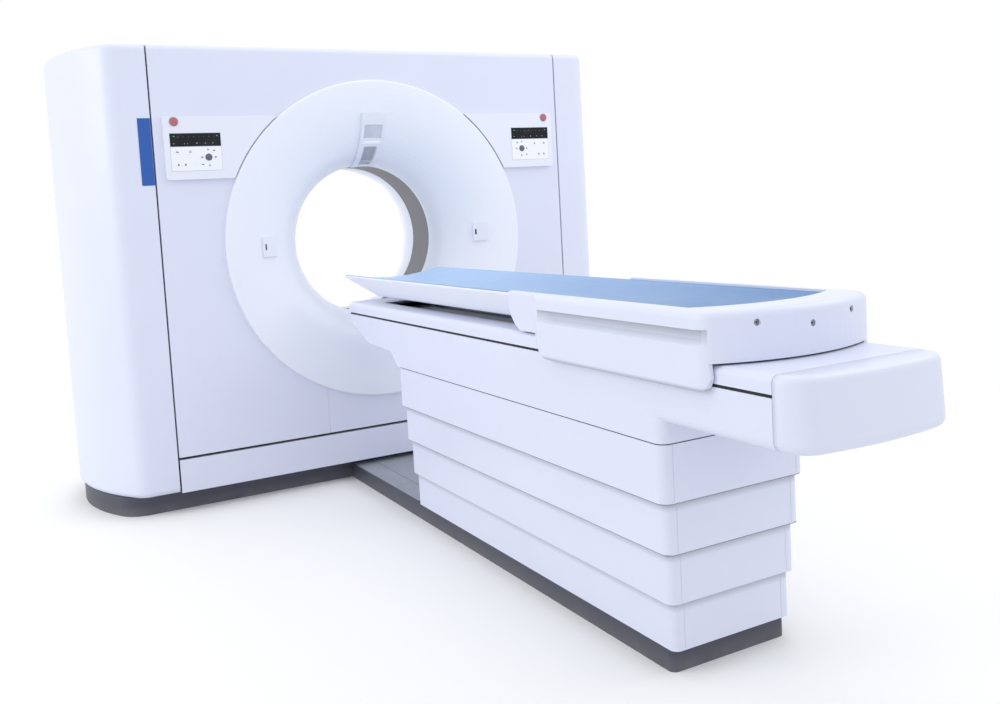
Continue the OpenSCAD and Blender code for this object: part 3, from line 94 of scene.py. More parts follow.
class ScannerColours(bpy.types.PropertyGroup):
    cover: bpy.props.FloatVectorProperty(
        name="Covers", description="Moulded covers of gantry and table", subtype="COLOR", size=3,
        default=(0.755, 0.782, 0.925), min=0, max=1)
    # Painted light: the funnels carry the cover paint made lighter, so they read brighter than the front panel
    funnel: bpy.props.FloatVectorProperty(
        name="Funnel", description="Ring and trumpet of the funnels", subtype="COLOR", size=3,
        default=(0.875, 0.905, 1.0), min=0, max=1)
    plate: bpy.props.FloatVectorProperty(
        name="Control plates", description="Control plates, console and light pads", subtype="COLOR", size=3,
        default=(0.84, 0.865, 0.965), min=0, max=1)
    plinth: bpy.props.FloatVectorProperty(
        name="Plinths", description="Dark skirts of both plinths", subtype="COLOR", size=3,
        default=(0.062, 0.066, 0.09), min=0, max=1)
    mattress: bpy.props.FloatVectorProperty(
        name="Mattress", description="Coated fabric of the mattress", subtype="COLOR", size=3,
        default=(0.022, 0.155, 0.42), min=0, max=1)
    # Painted sheen: the far colour pales the fabric towards the gantry, standing in for light glancing off it
    mattress_far_sheen: bpy.props.FloatVectorProperty(
        name="Mattress, far end", description="Paler tone of the fabric towards the gantry",
        subtype="COLOR", size=3, default=(0.45, 0.66, 0.97), min=0, max=1)
    stop: bpy.props.FloatVectorProperty(
        name="Stop buttons", description="Caps of the stop buttons", subtype="COLOR", size=3,
        default=(0.46, 0.13, 0.15), min=0, max=1)
    label: bpy.props.FloatVectorProperty(
        name="Label strip", description="Bare blue strip on the left side cover", subtype="COLOR", size=3,
        default=(0.012, 0.10, 0.42), min=0, max=1)


class ScannerStudio(bpy.types.PropertyGroup):
    world_level: bpy.props.FloatProperty(
        name="World level", description="Strength of the even light from all sides", default=0.98, min=0)
    key_level: bpy.props.FloatProperty(
        name="Key lamp", description="Power of the large lamp on the left", default=74, min=0, unit="POWER")
    fill_level: bpy.props.FloatProperty(
        name="Fill lamp", description="Power of the lamp ahead of the gantry", default=46, min=0, unit="POWER")
    top_level: bpy.props.FloatProperty(
        name="Top lamp", description="Power of the overhead lamp", default=14, min=0, unit="POWER")
    bore_level: bpy.props.FloatProperty(
        name="Bore lamp", description="Power of the lamp behind the bore", default=15, min=0, unit="POWER")
    floor: bpy.props.FloatVectorProperty(
        name="Floor", description="Colour of the floor", subtype="COLOR", size=3,
        default=(0.97, 0.96, 0.94), min=0, max=1)
    floor_bounce: bpy.props.FloatVectorProperty(
        name="Floor bounce", description="Colour of the light that the floor throws back",
        subtype="COLOR", size=3, default=(0.80, 0.795, 0.79), min=0, max=1)


# Shared surface effects: node groups that put out colours, masks and heights

def new_group(name, inputs, outputs):
    """Empty node group with float, colour and vector sockets, each given as (name, kind, default)."""
    kinds = {"float": "NodeSocketFloat", "colour": "NodeSocketColor", "vector": "NodeSocketVector"}
    tree = bpy.data.node_groups.new(name, "ShaderNodeTree")
    for way, sockets in (("INPUT", inputs), ("OUTPUT", outputs)):
        for label, kind, default in sockets:
            socket = tree.interface.new_socket(name=label, in_out=way, socket_type=kinds[kind])
            if default is not None:
                socket.default_value = default
    first = tree.nodes.new("NodeGroupInput")
    last = tree.nodes.new("NodeGroupOutput")
    first.location, last.location = (-900, 0), (700, 0)
    return tree, first, last


def add_node(tree, kind, place=(0, 0), **values):
    """Node of a kind at a place; values set its properties, or its inputs where the name is a socket."""
    node = tree.nodes.new(kind)
    node.location = place
    for key, value in values.items():
        if hasattr(node, key):
            setattr(node, key, value)
        else:
            node.inputs[key.replace("_", " ")].default_value = value
    return node


def noise_node(tree, vector, place, scale, detail=2.0, roughness=0.5):
    """Value of a noise pattern over a vector."""
    node = add_node(tree, "ShaderNodeTexNoise", place, Scale=scale, Detail=detail, Roughness=roughness)
    tree.links.new(vector, node.inputs["Vector"])
    return node.outputs["Fac"]


def ramp(tree, value, place, low, high, to_low=0.0, to_high=1.0):
    """Maps a value from one range to another, held inside it."""
    node = add_node(tree, "ShaderNodeMapRange", place)
    node.inputs["From Min"].default_value = low
    node.inputs["From Max"].default_value = high
    for key, end in (("To Min", to_low), ("To Max", to_high)):
        if isinstance(end, (int, float)):
            node.inputs[key].default_value = end
        else:
            tree.links.new(end, node.inputs[key])
    tree.links.new(value, node.inputs["Value"])
    return node.outputs["Result"]


def maths(tree, operation, a, b, place):
    """Result of a sum on two values, each a number, a socket or nothing."""
    node = add_node(tree, "ShaderNodeMath", place, operation=operation)
    for socket, value in zip(node.inputs, (a, b)):
        if isinstance(value, (int, float)):
            socket.default_value = value
        elif value is not None:
            tree.links.new(value, socket)
    return node.outputs[0]


def mix_colours(tree, share, a, b, place, blend="MIX"):
    """Mix of two colours, each a socket or three numbers."""
    node = add_node(tree, "ShaderNodeMix", place, data_type="RGBA", blend_type=blend)
    for socket, value in ((node.inputs[0], share), (node.inputs[6], a), (node.inputs[7], b)):
        if hasattr(value, "is_linked"):
            tree.links.new(value, socket)
        elif isinstance(value, (int, float)):
            socket.default_value = value
        else:
            socket.default_value = (*value, 1.0)
    return node.outputs[2]


def moulded_plastic():
    """Satin moulded cover: slow drift of tone, fine grain, and faint smears in the gloss."""
    tree, first, last = new_group("moulded_plastic", [
        ("Vector", "vector", None), ("Colour", "colour", (0.8, 0.8, 0.8, 1)), ("Drift", "float", 0.04),
        ("Gloss", "float", 0.4), ("Grain scale", "float", 900.0)],
        [("Colour", "colour", None), ("Roughness", "float", None), ("Height", "float", None)])
    here = first.outputs["Vector"]
    slow = noise_node(tree, here, (-600, 300), 1.7, 3.0)
    broad = noise_node(tree, here, (-600, 100), 6.0, 4.0, 0.6)
    grain = add_node(tree, "ShaderNodeTexNoise", (-600, -300), Detail=1.0)
    tree.links.new(here, grain.inputs["Vector"])
    tree.links.new(first.outputs["Grain scale"], grain.inputs["Scale"])
    orange = noise_node(tree, here, (-600, -500), 120.0, 2.0)
    tone = ramp(tree, slow, (-300, 300), 0.3, 0.7, -1.0, 1.0)
    darker = maths(tree, "MULTIPLY", tone, first.outputs["Drift"], (-100, 300))
    level = maths(tree, "ADD", darker, 1.0, (80, 300))
    grey = add_node(tree, "ShaderNodeCombineColor", (260, 420))
    for i in range(3):
        tree.links.new(level, grey.inputs[i])
    toned = mix_colours(tree, 1.0, first.outputs["Colour"], grey.outputs[0], (440, 300), "MULTIPLY")
    smear = ramp(tree, broad, (-300, 80), 0.35, 0.75, -0.05, 0.07)
    rough = maths(tree, "ADD", first.outputs["Gloss"], smear, (-100, 80))
    coarse = maths(tree, "MULTIPLY", orange, 0.5, (-300, -500))
    height = maths(tree, "ADD", grain.outputs["Fac"], coarse, (-100, -300))
    tree.links.new(toned, last.inputs["Colour"])
    tree.links.new(rough, last.inputs["Roughness"])
    tree.links.new(height, last.inputs["Height"])
    return tree


def scuffed_base():
    """Dark plinth finish: fine spatter texture, dust that gathers low down, and small pale scuffs."""
    tree, first, last = new_group("scuffed_base", [
        ("Vector", "vector", None), ("Colour", "colour", (0.08, 0.08, 0.1, 1)), ("Gloss", "float", 0.5),
        ("Dust height", "float", 0.05), ("Scuffs", "float", 0.3)],
        [("Colour", "colour", None), ("Roughness", "float", None), ("Height", "float", None)])
    here = first.outputs["Vector"]
    spatter = noise_node(tree, here, (-600, -300), 420.0, 2.0)
    patch = noise_node(tree, here, (-600, 100), 9.0, 4.0, 0.65)
    split = add_node(tree, "ShaderNodeSeparateXYZ", (-600, 300))
    tree.links.new(here, split.inputs[0])
    low = add_node(tree, "ShaderNodeMapRange", (-420, 400))
    tree.links.new(split.outputs["Z"], low.inputs["Value"])
    tree.links.new(first.outputs["Dust height"], low.inputs["From Max"])
    low.inputs["To Min"].default_value = 1.0
    low.inputs["To Max"].default_value = 0.0
    dust = maths(tree, "MULTIPLY", low.outputs["Result"], patch, (-240, 300))
    marks = ramp(tree, noise_node(tree, here, (-600, -100), 60.0, 5.0, 0.75), (-420, -100), 0.62, 0.72)
    marks = maths(tree, "MULTIPLY", marks, first.outputs["Scuffs"], (-240, -100))
    dusty = mix_colours(tree, maths(tree, "MULTIPLY", dust, 0.5, (-60, 380)),
                        first.outputs["Colour"], (0.34, 0.33, 0.32), (140, 300))
    scuffed = mix_colours(tree, maths(tree, "MULTIPLY", marks, 0.25, (-60, 140)),
                          dusty, (0.3, 0.31, 0.34), (330, 200))
    rough = maths(tree, "ADD", first.outputs["Gloss"], maths(tree, "MULTIPLY", dust, 0.25, (-60, 0)), (140, 0))
    tree.links.new(scuffed, last.inputs["Colour"])
    tree.links.new(rough, last.inputs["Roughness"])
    tree.links.new(spatter, last.inputs["Height"])
    return tree


def worked_metal():
    """Metal with lines left by machining along one axis, tone patches and a fine grain."""
    tree, first, last = new_group("worked_metal", [
        ("Vector", "vector", None), ("Colour", "colour", (0.6, 0.6, 0.6, 1)), ("Gloss", "float", 0.35),
        ("Lines", "float", 1.0)],
        [("Colour", "colour", None), ("Roughness", "float", None), ("Height", "float", None)])
    here = first.outputs["Vector"]
    stretch = add_node(tree, "ShaderNodeMapping", (-720, -200))
    stretch.inputs["Scale"].default_value = (900.0, 12.0, 900.0)
    tree.links.new(here, stretch.inputs["Vector"])
    lines = noise_node(tree, stretch.outputs[0], (-500, -200), 1.0, 2.0)
    patch = noise_node(tree, here, (-500, 200), 14.0, 4.0, 0.6)
    lined = maths(tree, "MULTIPLY", lines, first.outputs["Lines"], (-300, -200))
    tone = mix_colours(tree, ramp(tree, patch, (-300, 200), 0.35, 0.75, 0.0, 0.35),
                       first.outputs["Colour"], (0.25, 0.26, 0.28), (60, 200))
    streaks = ramp(tree, lined, (-120, 0), 0.3, 0.7, -0.05, 0.12)
    rough = maths(tree, "ADD", first.outputs["Gloss"], streaks, (60, 0))
    tree.links.new(tone, last.inputs["Colour"])
    tree.links.new(rough, last.inputs["Roughness"])
    tree.links.new(lined, last.inputs["Height"])
    return tree


def coated_weave():
    """Wipe-clean coated fabric: a pressed leather-like cell grain with painted shade in its dips, soft rubbed
    patches, slow tone drift, and a painted sheen that pales it towards the far end.
    """
    tree, first, last = new_group("coated_weave", [
        ("Vector", "vector", None), ("Colour", "colour", (0.2, 0.4, 0.7, 1)),
        ("Far colour", "colour", (0.4, 0.6, 0.9, 1)), ("Near end", "float", -2.4), ("Far end", "float", 0.0),
        ("Gloss", "float", 0.5), ("Cell scale", "float", 650.0)],
        [("Colour", "colour", None), ("Roughness", "float", None), ("Height", "float", None)])
    here = first.outputs["Vector"]
    cells = add_node(tree, "ShaderNodeTexVoronoi", (-600, -200), feature="SMOOTH_F1", Smoothness=0.6)
    tree.links.new(here, cells.inputs["Vector"])
    tree.links.new(first.outputs["Cell scale"], cells.inputs["Scale"])
    rubbed = noise_node(tree, here, (-600, 100), 5.0, 4.0, 0.6)
    slow = noise_node(tree, here, (-600, 300), 1.3, 2.0)
    crease = noise_node(tree, here, (-600, -450), 35.0, 3.0)
    # Painted sheen: the colour runs from the near colour to the paler far colour along the mattress
    split = add_node(tree, "ShaderNodeSeparateXYZ", (-600, 520))
    tree.links.new(here, split.inputs[0])
    run = add_node(tree, "ShaderNodeMapRange", (-420, 560))
    tree.links.new(split.outputs["Y"], run.inputs["Value"])
    tree.links.new(first.outputs["Near end"], run.inputs["From Min"])
    tree.links.new(first.outputs["Far end"], run.inputs["From Max"])
    painted_sheen = mix_colours(tree, run.outputs["Result"], first.outputs["Colour"],
                        first.outputs["Far colour"], (-240, 480))
    lighter = mix_colours(tree, ramp(tree, slow, (-300, 300), 0.3, 0.7, 0.0, 0.10),
                          painted_sheen, (0.42, 0.62, 0.88), (-60, 300))
    worn = mix_colours(tree, ramp(tree, rubbed, (-300, 100), 0.55, 0.8, 0.0, 0.10),
                       lighter, (0.5, 0.66, 0.88), (140, 200))
    # Painted shade: the grain is darker in its dips, where its height is lowest
    dips = mix_colours(tree, ramp(tree, cells.outputs["Distance"], (-300, -80), 0.35, 0.7, 0.0, 0.18),
                       worn, (0.05, 0.12, 0.3), (340, 120))
    polish = ramp(tree, rubbed, (-300, -10), 0.3, 0.8, 0.05, -0.1)
    rough = maths(tree, "ADD", first.outputs["Gloss"], polish, (60, 0))
    folds = maths(tree, "MULTIPLY", crease, 0.6, (-300, -450))
    height = maths(tree, "SUBTRACT", folds, cells.outputs["Distance"], (-60, -250))
    tree.links.new(dips, last.inputs["Colour"])
    tree.links.new(rough, last.inputs["Roughness"])
    tree.links.new(height, last.inputs["Height"])
    return tree


def speckled_polymer():
    """Matt rubber or dark polymer: fine pits with a little pale bloom."""
    tree, first, last = new_group("speckled_polymer", [
        ("Vector", "vector", None), ("Colour", "colour", (0.02, 0.02, 0.02, 1)), ("Gloss", "float", 0.6)],
        [("Colour", "colour", None), ("Roughness", "float", None), ("Height", "float", None)])
    here = first.outputs["Vector"]
    pits = noise_node(tree, here, (-500, -200), 700.0, 2.0)
    bloom = noise_node(tree, here, (-500, 150), 22.0, 4.0, 0.6)
    pale = mix_colours(tree, ramp(tree, bloom, (-300, 200), 0.5, 0.8, 0.0, 0.12),
                       first.outputs["Colour"], (0.2, 0.2, 0.21), (0, 200))
    dull = ramp(tree, pits, (-300, 0), 0.3, 0.7, -0.06, 0.06)
    rough = maths(tree, "ADD", first.outputs["Gloss"], dull, (0, 0))
    tree.links.new(pale, last.inputs["Colour"])
    tree.links.new(rough, last.inputs["Roughness"])
    tree.links.new(pits, last.inputs["Height"])
    return tree


def sunk_shade():
    """Mask of a grip's hollow: 1 at its top, 0 at its foot and outside its box, alike on both sides."""
    tree, first, last = new_group("sunk_shade", [
        ("Vector", "vector", None), ("Outer face", "float", 0.2712), ("Foot", "float", 0.886),
        ("Top", "float", 0.924), ("Near end", "float", -2.47), ("Far end", "float", -1.766)],
        [("Mask", "float", None)])
    split = add_node(tree, "ShaderNodeSeparateXYZ", (-640, 100))
    tree.links.new(first.outputs["Vector"], split.inputs[0])
    reach = maths(tree, "ABSOLUTE", split.outputs["X"], None, (-460, 260))
    inside = maths(tree, "LESS_THAN", reach, first.outputs["Outer face"], (-280, 260))
    rise = add_node(tree, "ShaderNodeMapRange", (-280, 60))
    tree.links.new(split.outputs["Z"], rise.inputs["Value"])
    tree.links.new(first.outputs["Foot"], rise.inputs["From Min"])
    tree.links.new(first.outputs["Top"], rise.inputs["From Max"])
    below = maths(tree, "LESS_THAN", split.outputs["Z"], first.outputs["Top"], (-280, -140))
    near = maths(tree, "GREATER_THAN", split.outputs["Y"], first.outputs["Near end"], (-280, -320))
    far = maths(tree, "LESS_THAN", split.outputs["Y"], first.outputs["Far end"], (-280, -500))
    mask = rise.outputs["Result"]
    for i, part in enumerate((inside, below, near, far)):
        mask = maths(tree, "MULTIPLY", mask, part, (-80 + 160 * i, 0))
    tree.links.new(mask, last.inputs["Mask"])
    return tree


def lip_shade():
    """Mask that grows from 0 at one height to 1 at another."""
    tree, first, last = new_group("lip_shade", [
        ("Vector", "vector", None), ("Clear height", "float", 0.0), ("Full height", "float", 1.0)],
        [("Mask", "float", None)])
    split = add_node(tree, "ShaderNodeSeparateXYZ", (-460, 0))
    tree.links.new(first.outputs["Vector"], split.inputs[0])
    rise = add_node(tree, "ShaderNodeMapRange", (-100, 0))
    tree.links.new(split.outputs["Z"], rise.inputs["Value"])
    tree.links.new(first.outputs["Clear height"], rise.inputs["From Min"])
    tree.links.new(first.outputs["Full height"], rise.inputs["From Max"])
    tree.links.new(rise.outputs["Result"], last.inputs["Mask"])
    return tree


GROUPS = {}


def surface(name):
    """The shared group of a name, built once."""
    makers = {"moulded": moulded_plastic, "base": scuffed_base, "metal": worked_metal,
              "weave": coated_weave, "polymer": speckled_polymer, "hollow": sunk_shade, "lip": lip_shade}
    if name not in GROUPS:
        GROUPS[name] = makers[name]()
    return GROUPS[name]


FINISHES = {}


def finish(name, kind, colour, gloss, depth=0.0001, relief=0.3, extra=None, **constants):
    """Material whose colour, roughness and relief come from a shared surface group."""
    if name in FINISHES:
        return FINISHES[name]
    material = bpy.data.materials.new(name)
    material.use_nodes = True
    material.diffuse_color = (*colour, 1.0)
    tree = material.node_tree
    tree.nodes.clear()
    out = add_node(tree, "ShaderNodeOutputMaterial", (600, 0))
    shader = add_node(tree, "ShaderNodeBsdfPrincipled", (300, 0))
    place = add_node(tree, "ShaderNodeTexCoord", (-600, 0))
    layer = add_node(tree, "ShaderNodeGroup", (-300, 0), node_tree=surface(kind))
    bump = add_node(tree, "ShaderNodeBump", (60, -260))
    layer.inputs["Colour"].default_value = (*colour, 1.0)
    layer.inputs["Gloss"].default_value = gloss
    for key, value in (extra or {}).items():
        layer.inputs[key].default_value = value
    bump.inputs["Strength"].default_value = relief
    bump.inputs["Distance"].default_value = depth
    tree.links.new(place.outputs["Object"], layer.inputs["Vector"])
    tree.links.new(layer.outputs["Colour"], shader.inputs["Base Color"])
    tree.links.new(layer.outputs["Roughness"], shader.inputs["Roughness"])
    tree.links.new(layer.outputs["Height"], bump.inputs["Height"])
    tree.links.new(bump.outputs["Normal"], shader.inputs["Normal"])
    tree.links.new(shader.outputs[0], out.inputs["Surface"])
    for key, value in constants.items():
        shader.inputs[key.replace("_", " ")].default_value = value
    FINISHES[name] = material
    return material


def lit_glass(name, colour, strength):
    """Small indicator or glyph that glows a little."""
    if name in FINISHES:
        return FINISHES[name]
    material = finish(name, "polymer", colour, 0.3, relief=0.05)
    shader = next(n for n in material.node_tree.nodes if n.type == "BSDF_PRINCIPLED")
    shader.inputs["Emission Color"].default_value = (*colour, 1.0)
    shader.inputs["Emission Strength"].default_value = strength
    return material


def cover_finish(colours, name="cover_satin"):
    """Satin paint of the covers, under a name of its own where a mask is added to it."""
    return finish(name, "moulded", colours.cover, 0.42, relief=0.16,
                  extra={"Drift": 0.018}, Coat_Weight=0.12, Coat_Roughness=0.22)


def shade_over(material, effect, strength, tint, **heights):
    """Draws a finish towards a tint by the mask of a shared effect."""
    tree = material.node_tree
    shader = next(n for n in tree.nodes if n.type == "BSDF_PRINCIPLED")
    place = next(n for n in tree.nodes if n.type == "TEX_COORD")
    paint = shader.inputs["Base Color"].links[0].from_socket
    shade = add_node(tree, "ShaderNodeGroup", (-300, 520), node_tree=surface(effect), **heights)
    tree.links.new(place.outputs["Object"], shade.inputs["Vector"])
    share = maths(tree, "MULTIPLY", shade.outputs["Mask"], strength, (-120, 520))
    tree.links.new(mix_colours(tree, share, paint, tint, (60, 320)), shader.inputs["Base Color"])
    return material


def carriage_finish(colours):
    """Cover paint, with the soft shade under the upper edge of each grip and along the foot of the skirts."""
    material = shade_over(cover_finish(colours, "carriage_satin"), "hollow", 0.9, (0.46, 0.47, 0.52))
    foot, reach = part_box("carriage")[0].z, 0.014
    return shade_over(material, "lip", 0.95, (0.38, 0.39, 0.44), Clear_height=foot + reach, Full_height=foot)


def skirt_finish(colours, name, lip):
    """Cover paint of a telescopic skirt, with the soft shade right under the lip of the skirt above it."""
    reach = 0.026
    return shade_over(cover_finish(colours, name), "lip", 0.9, (0.40, 0.41, 0.48),
                      Clear_height=lip - reach, Full_height=lip)


def plate_finish(colours):
    """Paint of the control plates, the console and the light pads."""
    return finish("plate_satin", "moulded", colours.plate, 0.36, relief=0.1,
                  extra={"Drift": 0.01}, Coat_Weight=0.15, Coat_Roughness=0.2)


def shadow_seal():
    """Black rubber of seals and groove strips, also used as painted shade: the dark ring in the couch's top seam
    and the screw sockets.
    """
    return finish("seal_rubber_and_painted_shade", "polymer", (0.018, 0.018, 0.022), 0.75)


def dress(nodes, material):
    """Gives CAD nodes a material in every slot."""
    for name in nodes:
        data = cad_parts[name].data
        if not data.materials:
            data.materials.append(material)
        for i in range(len(data.materials)):
            data.materials[i] = material


# Mesh helpers

def verts_of(geometry):
    """The vertices among what an operator gives back."""
    return [g for g in geometry if isinstance(g, bmesh.types.BMVert)]


def keep(name, shape, material, body, smooth=True, angle=35.0):
    """Turns a bmesh into a finished piece that rides on a body."""
    bmesh.ops.remove_doubles(shape, verts=shape.verts, dist=1e-6)
    mesh = bpy.data.meshes.new(name)
    shape.to_mesh(mesh)
    shape.free()
    piece = bpy.data.objects.new(name, mesh)
    bpy.context.scene.collection.objects.link(piece)
    mesh.materials.append(material)
    if smooth:
        mesh.polygons.foreach_set("use_smooth", [True] * len(mesh.polygons))
        mesh.set_sharp_from_angle(angle=math.radians(angle))
    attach(piece, body)
    return piece


def add_block(shape, low, high, round_by=0.0, steps=2):
    """Adds a block between two corners, with its edges rounded."""
    low, high = Vector(low), Vector(high)
    made = bmesh.ops.create_cube(shape, size=1.0)["verts"]
    size = high - low
    bmesh.ops.scale(shape, vec=size, verts=made)
    bmesh.ops.translate(shape, vec=(low + high) / 2, verts=made)
    if round_by:
        edges = {e for v in made for e in v.link_edges}
        new = bmesh.ops.bevel(shape, geom=list(edges), offset=min(round_by, min(size) * 0.49),
                              segments=steps, profile=0.5, affect="EDGES", material=-1)
        made = list({v for v in made if v.is_valid} | set(new["verts"]))
    return made


def add_disc(shape, centre, radius, depth, steps=32, round_by=0.0):
    """Adds a round disc or button that faces the table, its middle at centre."""
    made = bmesh.ops.create_cone(shape, cap_ends=True, segments=steps, radius1=radius, radius2=radius,
                                 depth=depth)["verts"]
    if round_by:
        edges = {e for v in made for e in v.link_edges}
        rims = [e for e in edges if abs(e.verts[0].co.z - e.verts[1].co.z) < 1e-9]
        new = bmesh.ops.bevel(shape, geom=rims, offset=round_by, segments=2, profile=0.5,
                              affect="EDGES", material=-1)
        made = list({v for v in made if v.is_valid} | set(new["verts"]))
    bmesh.ops.transform(shape, matrix=Matrix.Translation(centre) @ Matrix.Rotation(math.pi / 2, 4, "X"),
                        verts=made)
    return made


def mirrored(shape):
    """Adds the mirror image across the table's centre plane, with its faces turned outwards again."""
    geometry = shape.verts[:] + shape.edges[:] + shape.faces[:]
    copied = bmesh.ops.duplicate(shape, geom=geometry)["geom"]
    faces = [g for g in copied if isinstance(g, bmesh.types.BMFace)]
    bmesh.ops.scale(shape, vec=(-1, 1, 1), verts=verts_of(copied))
    bmesh.ops.reverse_faces(shape, faces=faces)


# Operators, one for each piece or group of like pieces

class SCANNER_OT_covers(bpy.types.Operator):
    """Satin moulded finish on the covers of the gantry"""
    bl_idname = "scanner.covers"
    bl_label = "Gantry covers"

    def execute(self, context):
        colours = context.scene.scanner_colours
        dress(["front_panel", "kick_panel", "centre_cover", "rear_panel", "roof_panel", "left_side_cover",
               "right_side_cover"], cover_finish(colours))
        # Painted light: the funnel finish is the cover paint made lighter
        dress(["front_funnel", "rear_funnel"], finish(
            "funnel_satin_painted_light", "moulded", colours.funnel, 0.38, relief=0.12, extra={"Drift": 0.012},
            Coat_Weight=0.15, Coat_Roughness=0.2))
        dress(["scan_window"], finish("window_film", "polymer", (0.165, 0.165, 0.18), 0.5, relief=0.1))
        return {"FINISHED"}


class SCANNER_OT_seals(bpy.types.Operator):
    """Dark seals behind the upright seams and above the kick panel"""
    bl_idname = "scanner.seals"
    bl_label = "Cover seals"

    def execute(self, context):
        sizes = context.scene.scanner_sizes
        low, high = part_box("front_panel")
        half = sizes.seal_width / 2
        seam = (high.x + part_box("right_side_cover")[0].x) / 2
        kick_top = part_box("kick_panel")[1].z
        front, rear, thick, foot, edge = 0.0255, 0.9705, 0.004, 0.125, 0.001
        roof = high.z - 0.0115
        shape = bmesh.new()
        for depth in (front, rear):
            add_block(shape, (seam - half, depth, foot), (seam + half, depth + thick, high.z - 0.012), edge)
        add_block(shape, (seam - half, 0.03, roof), (seam + half, 0.97, roof + thick), edge)
        mirrored(shape)
        add_block(shape, (-seam + half, front, kick_top - 0.01), (seam - half, front + 0.003, low.z + 0.012), edge)
        keep("cover_seals", shape, shadow_seal(), "base")
        return {"FINISHED"}


class SCANNER_OT_console(bpy.types.Operator):
    """Screen, loudspeaker holes and light bar of the console on the funnel"""
    bl_idname = "scanner.console"
    bl_label = "Funnel console"

    def place(self, sizes, angle, across, proud):
        """Point and frame on the console: angle from ring to throat, across in metres, proud of the funnel."""
        reach = sizes.ring_radius - sizes.bore_radius
        depth = FUNNEL_HIGH.y - FUNNEL_LOW.y
        s, c = math.sin(math.radians(angle)), math.cos(math.radians(angle))
        normal = Vector((0, -reach * c, -depth * s)).normalized()
        down = Vector((0, depth * s, -reach * c)).normalized()
        radius = sizes.ring_radius - reach * s
        point = Vector((0, FUNNEL_HIGH.y - depth * c, sizes.bore_height + radius)) + normal * proud
        turn = Matrix.Rotation(across / radius, 4, "Y")
        frame_of = Matrix((Vector((1, 0, 0)), -down, -normal)).transposed().to_4x4()
        return turn, point, frame_of

    def put(self, sizes, shape, verts, angle, across, proud):
        """Moves vertices made about the origin to their place on the console."""
        turn, point, frame_of = self.place(sizes, angle, across, proud)
        axis = Matrix.Translation((0, 0, sizes.bore_height))
        matrix = axis @ turn @ axis.inverted() @ Matrix.Translation(point) @ frame_of
        bmesh.ops.transform(shape, matrix=matrix, verts=verts)

    def execute(self, context):
        sizes, colours = context.scene.scanner_sizes, context.scene.scanner_colours
        dress(["funnel_console", "left_light", "right_light"], plate_finish(colours))
        screen = finish("console_screen", "polymer", (0.62, 0.655, 0.76), 0.24, relief=0.05, Coat_Weight=0.2)
        shape = bmesh.new()
        for angle in (32.6, 34.9, 37.2, 39.5, 41.3):
            verts = add_block(shape, (-0.042, -0.0098, -0.0004), (0.042, 0.0098, 0.0008), 0.0006)
            self.put(sizes, shape, verts, angle, 0.0, 0.0062)
        keep("console_screen", shape, screen, "base")

        bar = bmesh.new()
        verts = add_block(bar, (-0.046, -0.007, -0.001), (0.046, 0.007, 0.0012), 0.0022, 3)
        self.put(sizes, bar, verts, 46.3, 0.0, 0.0117)
        keep("console_bar", bar, lit_glass("bar_light", (0.86, 0.9, 1.0), 0.12), "base")

        panel = finish("speaker_cloth", "polymer", (0.60, 0.635, 0.73), 0.6, relief=0.15)
        grille = bmesh.new()
        for i in range(12):
            verts = add_block(grille, (-0.0325, -0.0085, -0.0004), (0.0325, 0.0085, 0.0007), 0.0005)
            self.put(sizes, grille, verts, 52.0 + 2.15 * i, 0.0, 0.0060)
        keep("speaker_panel", grille, panel, "base")

        # Painted shade: grey discs and slots proud of the panel stand in for the dark openings of the grille
        holes = bmesh.new()
        pitch, edge = 0.0066, 0.029
        for row in range(17):
            for column in range(-4, 5):
                across = column * pitch + (pitch / 2 if row % 2 else 0)
                if abs(across) > edge:
                    continue
                verts = bmesh.ops.create_cone(holes, cap_ends=True, segments=8, radius1=0.0016, radius2=0.0016,
                                              depth=0.0006)["verts"]
                self.put(sizes, holes, verts, 51.6 + row * 1.0, across, 0.0072)
        for angle, places in ((71.0, (-0.019, -0.007, 0.005)), (73.8, (-0.013, -0.001, 0.011, 0.020))):
            for across in places:
                verts = add_block(holes, (-0.0036, -0.0016, -0.0003), (0.0036, 0.0016, 0.0003))
                self.put(sizes, holes, verts, angle, across, 0.0072)
        for across in (-0.040, 0.040):
            verts = bmesh.ops.create_cone(holes, cap_ends=True, segments=12, radius1=0.0017, radius2=0.0017,
                                          depth=0.0006)["verts"]
            self.put(sizes, holes, verts, 45.7, across, 0.0131)
        keep("speaker_holes", holes, finish(
            "painted_hole_shade", "polymer", (0.20, 0.21, 0.25), 0.7, relief=0.05), "base", smooth=False)
        return {"FINISHED"}


class SCANNER_OT_position_lights(bpy.types.Operator):
    """Windows of the two positioning lights on the funnel"""
    bl_idname = "scanner.position_lights"
    bl_label = "Positioning lights"

    def execute(self, context):
        sizes = context.scene.scanner_sizes
        low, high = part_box("right_light")
        radius, height, lean = 0.53, (low.z + high.z) / 2, math.radians(22.0)
        reach, depth = sizes.ring_radius - sizes.bore_radius, FUNNEL_HIGH.y - FUNNEL_LOW.y
        face = FUNNEL_HIGH.y - depth * math.sqrt(1 - ((sizes.ring_radius - radius) / reach) ** 2)
        shape = bmesh.new()
        for side in (-1, 1):
            verts = add_block(shape, (-0.0268, -0.0068, -0.0128), (-0.0182, -0.0059, 0.0128), 0.0006)
            matrix = Matrix.Translation((side * radius, face, height)) @ Matrix.Rotation(-side * lean, 4, "Z")
            bmesh.ops.transform(shape, matrix=matrix, verts=verts)
        window = finish("light_window", "polymer", (0.05, 0.035, 0.04), 0.12, relief=0.02, Coat_Weight=0.8)
        keep("light_windows", shape, window, "base")
        return {"FINISHED"}


